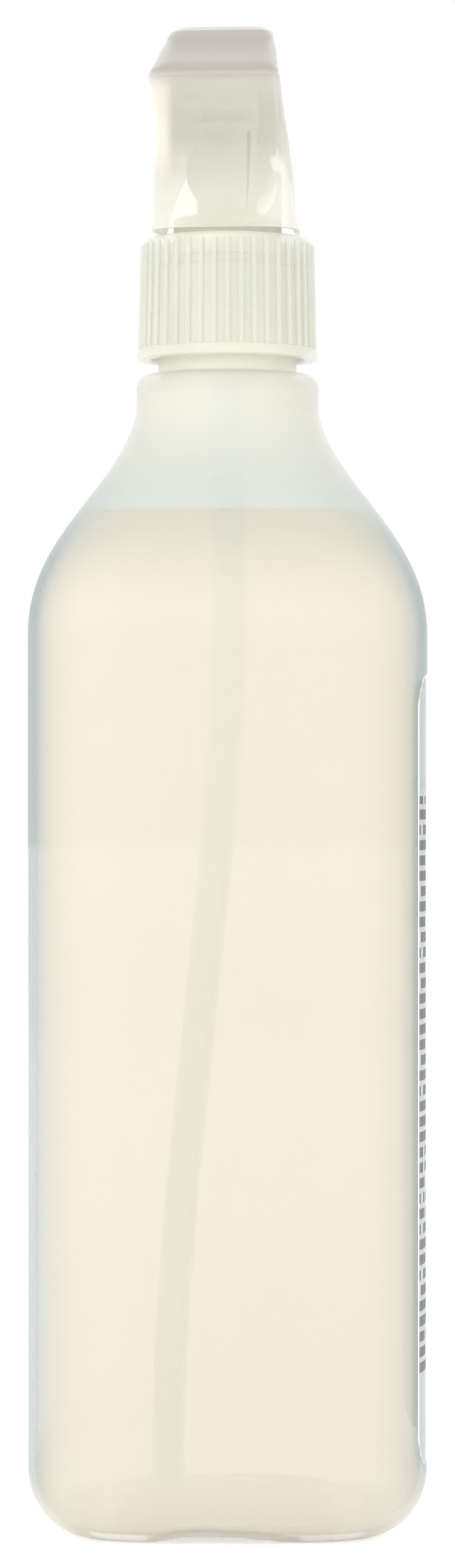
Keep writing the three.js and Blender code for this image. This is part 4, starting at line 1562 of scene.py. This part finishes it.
@dataclass
class Closure:
    """The ribbed screw closure and the ribs round its wall."""

    bottom: float = 210.4
    top: float = 232.6
    radius: float = 15.62
    taper: float = 0.4
    crest: float = 16.1
    skirt_radius: float = 16.35
    skirt_height: float = 2.0
    edge: float = 1.2
    bore: float = 14.1
    lip_bottom: float = 230.9
    lip_hole: float = 11.0
    ribs: int = 40
    rib_width: float = 1.15
    rib_rounding: float = 0.42

    def build(self) -> None:
        """Builds and dresses the closure's wall and ribs."""
        finish = MouldedPlastic(
            "closure_plastic",
            colour=(0.90, 0.89, 0.79),
            shade=(0.86, 0.86, 0.76),
            roughness=0.3,
            cover=0.52,
            edge_cover=0.6,
            edge_power=2.0,
            patch=7.0,
        )
        material = finish.material()
        wall = made(turned("closure_wall", self.profile(), 160), "closure_wall", 40.0)
        dress(wall, material, Body.CLOSURE, Slot.PLASTIC, "closure")
        clearer = replace(
            finish,
            name="rib_plastic",
            colour=(0.83, 0.84, 0.76),
            shade=(0.79, 0.81, 0.73),
            cover=0.4,
            edge_cover=0.5,
        ).material()
        dress(self.grown_ribs(clearer), clearer, Body.CLOSURE, Slot.PLASTIC)

    def profile(self) -> list[tuple[float, float]]:
        """The wall's section.

        Returns:
            Pairs of radius and height, round the section.
        """
        skirt, top = self.skirt_radius, self.radius - self.taper
        return [
            (self.bore, self.bottom + 0.3),
            (self.bore + 0.3, self.bottom),
            *arc((skirt - 0.45, self.bottom + 0.45), 0.45, -90.0, 0.0),
            *arc((skirt - 0.35, self.bottom + self.skirt_height - 0.35), 0.35, 0.0, 90.0),
            (self.radius + 0.15, self.bottom + self.skirt_height + 0.02),
            (self.radius, self.bottom + self.skirt_height + 0.2),
            (self.radius - self.taper / 2, (self.bottom + self.top) / 2),
            *arc((top - self.edge, self.top - self.edge), self.edge, 0.0, 90.0, 8),
            (self.lip_hole + 0.3, self.top),
            (self.lip_hole, self.top - 0.3),
            (self.lip_hole, self.lip_bottom + 0.2),
            (self.lip_hole + 0.2, self.lip_bottom),
            (self.bore - 0.6, self.lip_bottom),
            (self.bore, self.lip_bottom - 0.6),
        ]

    def grown_ribs(self, material: bpy.types.Material) -> bpy.types.Object:
        """The ribs, one bar repeated round the wall.

        Args:
            material: The closure's material.

        Returns:
            All ribs as one plain mesh.
        """
        low = self.bottom + self.skirt_height - 0.1
        high = self.top - self.edge
        length = high - low
        tree = GeometryTree(
            "closure_ribs",
            {
                "Count": self.ribs,
                "Ring Radius": (self.crest - self.rib_width * self.rib_rounding) * MM,
                "Rib Width": self.rib_width * MM,
                "Length": length * MM,
                "Middle": (low + high) / 2 * MM,
                "Lean": -self.taper / length,
            },
        )
        inputs = {"Vertices": tree.size("Count"), "Radius": tree.size("Ring Radius")}
        ring = tree.node("GeometryNodeMeshCircle", {}, inputs)
        half = tree.maths("MULTIPLY", tree.size("Rib Width"), self.rib_rounding)
        bar = tree.node(
            "GeometryNodeMeshCone",
            {"fill_type": "NGON"},
            {
                "Vertices": 14,
                "Side Segments": 3,
                "Fill Segments": 1,
                "Radius Top": half,
                "Radius Bottom": half,
                "Depth": tree.size("Length"),
            },
        )
        sunk = tree.maths("MULTIPLY", tree.size("Length"), -0.5)
        centred = tree.raised(bar.outputs["Mesh"], sunk)
        inputs = {"Points": ring.outputs[0], "Instance": centred}
        spread = tree.node("GeometryNodeInstanceOnPoints", {}, inputs)
        plain = tree.node("GeometryNodeRealizeInstances", {}, {0: spread.outputs[0]})
        where = tree.node("GeometryNodeInputPosition", {}, {})
        parts = tree.node("ShaderNodeSeparateXYZ", {}, {0: where.outputs[0]})
        lean = tree.maths("MULTIPLY", parts.outputs["Z"], tree.size("Lean"))
        share = tree.maths("DIVIDE", lean, tree.size("Ring Radius"))
        inputs = {"X": parts.outputs["X"], "Y": parts.outputs["Y"]}
        flat = tree.node("ShaderNodeCombineXYZ", {}, inputs)
        inputs = {0: flat.outputs[0], "Scale": share}
        drift = tree.node("ShaderNodeVectorMath", {"operation": "SCALE"}, inputs)
        inputs = {"Geometry": plain.outputs[0], "Offset": drift.outputs[0]}
        leaned = tree.node("GeometryNodeSetPosition", {}, inputs)
        placed = tree.raised(leaned.outputs[0], tree.size("Middle"))
        return tree.grown("closure_ribs", placed, material)


@dataclass
class Shroud:
    """The clear cover over the pump, from its skirt on the closure to its ridge."""

    turn: float = HEAD_TURN
    wall: float = 1.2
    bottom: float = 233.6
    front: float = 36.0
    brow: float = 252.4
    corner: float = 2.6
    edge: float = 0.35
    rear_fullness: float = 1.3
    barrel_radius: float = 3.5
    barrel_height: float = BARREL_HEIGHT

    def stations(self) -> np.ndarray:
        """Height, rear and front ends, and half-widths at the rear and the front."""
        front = self.front
        return np.array([
            (self.bottom, -11.5, 11.0, 13.8, 12.9),
            (236.0, -11.3, 12.5, 13.5, 12.4),
            (240.0, -11.1, 16.0, 13.2, 11.6),
            (244.0, -11.3, 20.0, 12.9, 10.9),
            (247.3, -13.0, 24.5, 12.5, 9.8),
            (250.0, -15.4, 29.0, 12.3, 8.8),
            (self.brow, -18.0, front, 12.0, 7.4),
            (254.0, -20.6, front, 11.9, 7.1),
            (255.9, -25.0, front, 11.9, 6.9),
            (258.1, -31.4, front, 12.0, 6.8),
            (259.8, -29.2, front, 11.6, 6.8),
            (263.9, -22.0, front, 10.8, 6.8),
            (266.3, -18.2, front - 0.4, 10.1, 6.8),
            (266.9, -17.5, 30.0, 9.9, 7.0),
            (268.2, -16.0, 6.0, 9.6, 8.3),
            (269.2, -14.0, -8.0, 8.6, 8.0),
        ])

    def station(self, z: float) -> np.ndarray:
        """The outline's numbers at any height.

        Args:
            z: The height.

        Returns:
            Rear and front ends, and half-widths at the rear and the front.
        """
        table = self.stations()
        return np.array([np.interp(z, table[:, 0], table[:, k]) for k in range(1, 5)])

    def roundness(self, z: float) -> float:
        """How round the corners are at a height: fuller at the skirt."""
        return self.corner * (1.0 + 1.2 * min(max((243.0 - z) / 9.0, 0.0), 1.0))

    def outline(self, numbers: Sequence[float], corner: float, z: float) -> np.ndarray:
        """One level: a trapezoid with rounded corners.

        Args:
            numbers: Rear and front ends, and half-widths at the rear and the front.
            corner: How far the rounding reaches along each side.
            z: The height.

        Returns:
            The level's points.
        """
        rear, front, rear_half, front_half = numbers
        corners = np.array([
            (rear_half, rear), (front_half, front), (-front_half, front), (-rear_half, rear),
        ])
        points = []
        for i, middle in enumerate(corners):
            before, after = corners[i - 1] - middle, corners[(i + 1) % 4] - middle
            reach = corner * (self.rear_fullness if i in (0, 3) else 1.0)
            start = middle + before / np.linalg.norm(before) * reach
            end = middle + after / np.linalg.norm(after) * reach
            for t in np.linspace(0.0, 1.0, 9):
                points.append((1 - t) ** 2 * start + 2 * t * (1 - t) * middle + t * t * end)
        flat = np.array(points)
        return np.column_stack([flat, np.full(len(flat), z)])

    def heights(self) -> list[float]:
        """Close heights that keep each of the stations' own."""
        table = self.stations()[:, 0]
        heights = []
        for low, high in zip(table[:-1], table[1:]):
            steps = max(1, round((high - low) / 1.2))
            heights.extend(np.linspace(low, high, steps, endpoint=False))
        return [*heights, table[-1]]

    def outside(self) -> bpy.types.Mesh:
        """The cover's outer form as a closed solid."""
        rings = [self.outline(self.station(z), self.roundness(z), z) for z in self.heights()]
        return skin("shroud", [swung(ring, self.turn) for ring in rings])

    def hollow(self) -> bpy.types.Mesh:
        """What is taken out: the inside, open below and under the brow.

        Returns:
            A closed cutter.
        """
        wall = self.wall
        inside = [z for z in self.heights() if self.bottom + 1 < z < 266.4]
        top = 269.2 - wall
        rings = []
        for z in [self.bottom - 2.0, *inside, top - 1.2, top - 0.2]:
            here, higher, lower = (self.station(z + step) for step in (0.0, wall, -wall))
            inner = [
                max(here[0] + wall, higher[0], lower[0]),
                min(here[1] - wall, higher[1]),
                here[2] - wall,
                here[3] - wall,
            ]
            corner = self.roundness(z) - wall * 0.8
            opened = [inner[0], self.front + 4.0, inner[2], inner[3]]
            if z < self.brow - 0.01:
                rings.append(self.outline(opened, corner, z))
            elif z > self.brow + 0.01:
                rings.append(self.outline(inner, corner, z))
            else:
                rings.append(self.outline(opened, corner, z - 0.1))
                rings.append(self.outline(inner, corner, z))
        return skin("shroud_hollow", [swung(ring, self.turn) for ring in rings])

    def barrel_hole(self) -> bpy.types.Mesh:
        """The cutter for the hole that the barrel passes through."""
        angle = np.linspace(0.0, 2 * math.pi, 48, endpoint=False)
        x = self.barrel_radius * np.cos(angle)
        z = self.barrel_height + self.barrel_radius * np.sin(angle)
        rings = [np.stack([x, np.full(48, y), z], 1) for y in (self.front - 5, self.front + 1)]
        return skin("barrel_hole", [swung(ring, self.turn) for ring in rings])

    def build(self) -> None:
        """Builds the cover, rounds its edges and dresses it."""
        cover = made(self.outside(), "head_cover")
        cut(cover, self.hollow())
        cut(cover, self.barrel_hole())
        bevelled(cover, self.edge, 3, 32.0, 42.0)
        dress(cover, ClearCover().material(), Body.SPRAYER, Slot.CLEAR, "shroud")


@dataclass
class Nozzle:
    """The square nozzle cap that turns on the barrel's end."""

    turn: float = HEAD_TURN
    half: float = 6.5
    corner: float = 3.0
    rear: float = 36.5
    front: float = 45.0
    bevel: float = 0.8
    socket: float = 3.5
    floor: float = 42.6
    height: float = BARREL_HEIGHT
    dish: float = 2.6
    orifice: float = 0.6
    groove: float = 0.28
    grip: Span = (0.5, 5.7)
    groove_run: float = 0.3
    pitch: float = 1.25
    points: int = 240

    def square(self, half: float, corner: float, y: float, grooved: float) -> np.ndarray:
        """A rounded square across the nozzle's axis, with grip grooves in its sides.

        Args:
            half: Half its side.
            corner: Its corner radius.
            y: Its station along the axis.
            grooved: How deep the grooves are there.

        Returns:
            The points.
        """
        straight = half - corner
        angles = np.linspace(0.0, 2 * math.pi, self.points, endpoint=False)
        points = []
        for angle in angles:
            c, s = math.cos(angle), math.sin(angle)
            if abs(c) >= abs(s):
                u = (s / abs(c)) * half
                side = np.array([math.copysign(1.0, c), 0.0])
                along = np.array([0.0, 1.0])
            else:
                u = (c / abs(s)) * half
                side = np.array([0.0, math.copysign(1.0, s)])
                along = np.array([1.0, 0.0])
            if abs(u) <= straight:
                wave = 0.5 - 0.5 * math.cos(2 * math.pi * u / self.pitch)
                fade = min(1.0, (straight - abs(u)) / 0.5)
                points.append(side * (half - grooved * wave * fade) + along * u)
            else:
                centre = side * straight + along * math.copysign(straight, u)
                corner_point = side * half + along * u
                out = corner_point - centre
                points.append(centre + out / np.linalg.norm(out) * corner)
        flat = np.array(points)
        z = self.height + flat[:, 1]
        return np.stack([flat[:, 0], np.full(self.points, y), z], 1)

    def disc(self, radius: float, y: float) -> np.ndarray:
        """A circle across the nozzle's axis.

        Args:
            radius: Its radius.
            y: Its station along the axis.

        Returns:
            The points.
        """
        angle = np.linspace(0.0, 2 * math.pi, self.points, endpoint=False)
        x, z = radius * np.cos(angle), self.height + radius * np.sin(angle)
        return np.stack([x, np.full(self.points, y), z], 1)

    def mesh(self) -> bpy.types.Mesh:
        """The cap with its socket, its dished front and its orifice."""
        rings = [self.disc(self.socket, self.floor), self.disc(self.socket, self.rear + 0.3)]
        rings.append(self.disc(self.socket + 0.3, self.rear))
        for angle in np.radians(np.linspace(0.0, 90.0, 5)):
            inset = self.bevel * (1.0 - math.sin(angle))
            y = self.rear + self.bevel * (1.0 - math.cos(angle))
            rings.append(self.square(self.half - inset, self.corner - inset, y, 0.0))
        start, end = (self.rear + self.bevel + y for y in self.grip)
        for y in (start, start + self.groove_run, end - self.groove_run, end):
            depth = 0.0 if y in (start, end) else self.groove
            rings.append(self.square(self.half, self.corner, y, depth))
        for angle in np.radians(np.linspace(0.0, 90.0, 5)):
            inset = self.bevel * (1.0 - math.cos(angle))
            y = self.front - self.bevel * (1.0 - math.sin(angle))
            rings.append(self.square(self.half - inset, self.corner - inset, y, 0.0))
        rings += [self.disc(self.dish + 0.25, self.front), self.disc(self.dish, self.front - 0.2)]
        rings += [self.disc(self.dish - 0.2, self.front - 1.0), self.disc(0.9, self.front - 1.0)]
        rings += [self.disc(self.orifice, self.front - 1.2), self.disc(self.orifice, self.floor)]
        return skin("nozzle_cap", [swung(ring, self.turn) for ring in rings], looped=True)

    def build(self, material: bpy.types.Material) -> None:
        """Builds and dresses the cap.

        Args:
            material: The white moulding's material.
        """
        cap = made(self.mesh(), "nozzle_grip", 40.0)
        dress(cap, material, Body.NOZZLE, Slot.PLASTIC, "nozzle_cap")


@dataclass
class Spring:
    """The return spring between the cylinder's floor and the piston."""

    turn: float = HEAD_TURN
    rear: float = 2.8
    front: float = 12.0
    height: float = 245.0

    def end(self, y: float) -> Vector:
        """A point on the cylinder's axis, in metres."""
        point = swung(np.array([[0.0, y, self.height]]), self.turn)[0]
        return Vector((point * MM).tolist())

    def build(self, material: bpy.types.Material) -> None:
        """Builds the coil from a copy of the imported spring, fixed in place.

        Args:
            material: The wire's material.
        """
        coil = made(tidied(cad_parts["return_spring"].data.copy()), "spring_coil")
        coil.data.materials.clear()
        coil.data.materials.append(material)
        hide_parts("return_spring")
        self.end(self.rear)
        self.end(self.front)
        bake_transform(coil)
        LOG.info("%s: %d faces", coil.name, len(coil.data.polygons))


@dataclass
class Head:
    """The pump, its tube, trigger, cover and nozzle."""

    tube: DipTube

    def build(self) -> None:
        """Builds and dresses every piece of the head."""
        white = MouldedPlastic(
            "white_moulding",
            colour=(0.78, 0.765, 0.69),
            shade=(0.73, 0.715, 0.64),
            roughness=0.36,
            patch=6.0,
        ).material()
        inner = MouldedPlastic(
            "pump_moulding",
            colour=(0.89, 0.88, 0.79),
            shade=(0.84, 0.83, 0.74),
            roughness=0.42,
            patch=5.0,
        ).material()
        tube = MouldedPlastic(
            "tube_plastic",
            colour=(0.66, 0.87, 0.95),
            shade=(0.62, 0.83, 0.91),
            roughness=0.3,
            cover=0.3,
            edge_cover=0.7,
            edge_power=2.0,
            patch=10.0,
            flow=(1.0, 1.0, 0.1),
        ).material()
        for node, width, material, body in (
            ("pump_body", 0.18, inner, Body.SPRAYER),
            ("tube_retainer", 0.12, inner, Body.SPRAYER),
            ("trigger", 0.35, white, Body.TRIGGER),
            ("piston", 0.18, white, Body.PISTON),
        ):
            dress(softened(node, width), material, body, Slot.PLASTIC, node)
        pipe = made(self.tube.mesh(), "draw_tube", 40.0)
        dress(pipe, tube, Body.SPRAYER, Slot.TUBE, "dip_tube")
        Shroud().build()
        Nozzle().build(white)
        self.dress_small_parts(inner)

    @staticmethod
    def dress_small_parts(moulding: bpy.types.Material) -> None:
        """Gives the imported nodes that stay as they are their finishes.

        Args:
            moulding: The material of the moulded insert.
        """
        rubber, steel = SealRubber().material(), DrawnSteel().material()
        finishes = {
            "neck_gasket": rubber,
            "piston_seal": rubber,
            "outlet_valve": rubber,
            "nozzle_seal": rubber,
            "swirl_insert": moulding,
            "inlet_ball": steel,
        }
        for name, material in finishes.items():
            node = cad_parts[name]
            for place in node.material_slots:
                place.material = material
            LOG.info("%s: %s", name, material.name)
        Spring().build(steel)


@dataclass
class Studio:
    """White paper, a white world, soft lamps and the camera at the photograph's place."""

    camera_distance: float = 0.85
    camera_height: float = 0.13315
    lens: float = 106.8
    sensor: float = 36.0
    floor_reach: float = 9.0
    lamps: tuple[tuple[str, Colour, float, float], ...] = (
        ("key", (-0.9, -1.1, 0.9), 7.4, 0.9),
        ("fill", (1.1, -0.9, 0.6), 3.4, 1.1),
        ("rear", (0.1, 1.2, 0.9), 3.0, 1.1),
    )

    def build(self) -> None:
        """Builds the floor, the lamps, the world and the camera."""
        self.floor()
        self.world()
        for name, place, power, size in self.lamps:
            self.lamp(name, Vector(place), power, size)
        self.camera()
        bpy.context.scene.view_settings.view_transform = "Standard"
        bpy.context.scene.cycles.transparent_max_bounces = 48

    def floor(self) -> None:
        """Lays the paper."""
        mesh = bpy.data.meshes.new("paper")
        reach = self.floor_reach
        corners = [(-reach, -reach, 0), (reach, -reach, 0), (reach, reach, 0), (-reach, reach, 0)]
        mesh.from_pydata(corners, [], [(0, 1, 2, 3)])
        mesh.materials.append(StudioPaper().material())
        linked("paper", mesh)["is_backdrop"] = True

    @staticmethod
    def world() -> None:
        """Makes the surroundings plain white."""
        world = bpy.data.worlds.new("studio")
        world.use_nodes = True
        ground = world.node_tree.nodes["Background"]
        ground.inputs["Color"].default_value = (1.0, 1.0, 1.0, 1.0)
        ground.inputs["Strength"].default_value = 1.0
        bpy.context.scene.world = world

    @staticmethod
    def lamp(name: str, place: Vector, power: float, size: float) -> None:
        """Adds one soft lamp that looks at the bottle's middle.

        Args:
            name: The lamp's name.
            place: Where it stands.
            power: Its power, in watts.
            size: Its side, in metres.
        """
        light = bpy.data.lights.new(name, "AREA")
        light.energy = power
        light.size = size
        thing = linked(name, light)
        thing.location = place
        aim = Vector((0.0, 0.0, 0.13)) - place
        thing.rotation_euler = aim.to_track_quat("-Z", "Y").to_euler()

    def camera(self) -> None:
        """Sets the camera level with the bottle's middle, looking along +Y."""
        data = bpy.data.cameras.new("camera")
        data.lens = self.lens
        data.sensor_width = self.sensor
        data.clip_start = 0.05
        data.clip_end = 50.0
        thing = linked("camera", data)
        thing.location = (0.0, -self.camera_distance, self.camera_height)
        thing.rotation_euler = (math.pi / 2, 0.0, 0.0)
        bpy.context.scene.camera = thing


def as_lists(box: tuple[Vector, Vector]) -> list[list[float]]:
    """A box's two corners as plain lists of numbers."""
    return [[float(number) for number in corner] for corner in box]


def main(packed_box: list[list[float]]) -> None:
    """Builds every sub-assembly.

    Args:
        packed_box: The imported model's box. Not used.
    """
    logging.basicConfig(level=logging.INFO, format="%(name)s: %(message)s")
    parts: list[tuple[str, Callable[[], None]]] = [
        ("studio", Studio().build),
        ("container", Container(BottleForm()).build),
        ("closure", Closure().build),
        ("head", Head(DipTube()).build),
    ]
    for name, build in parts:
        build()
        LOG.info("%s is ready", name)


if __name__ == "__main__":
    main(as_lists(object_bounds()))
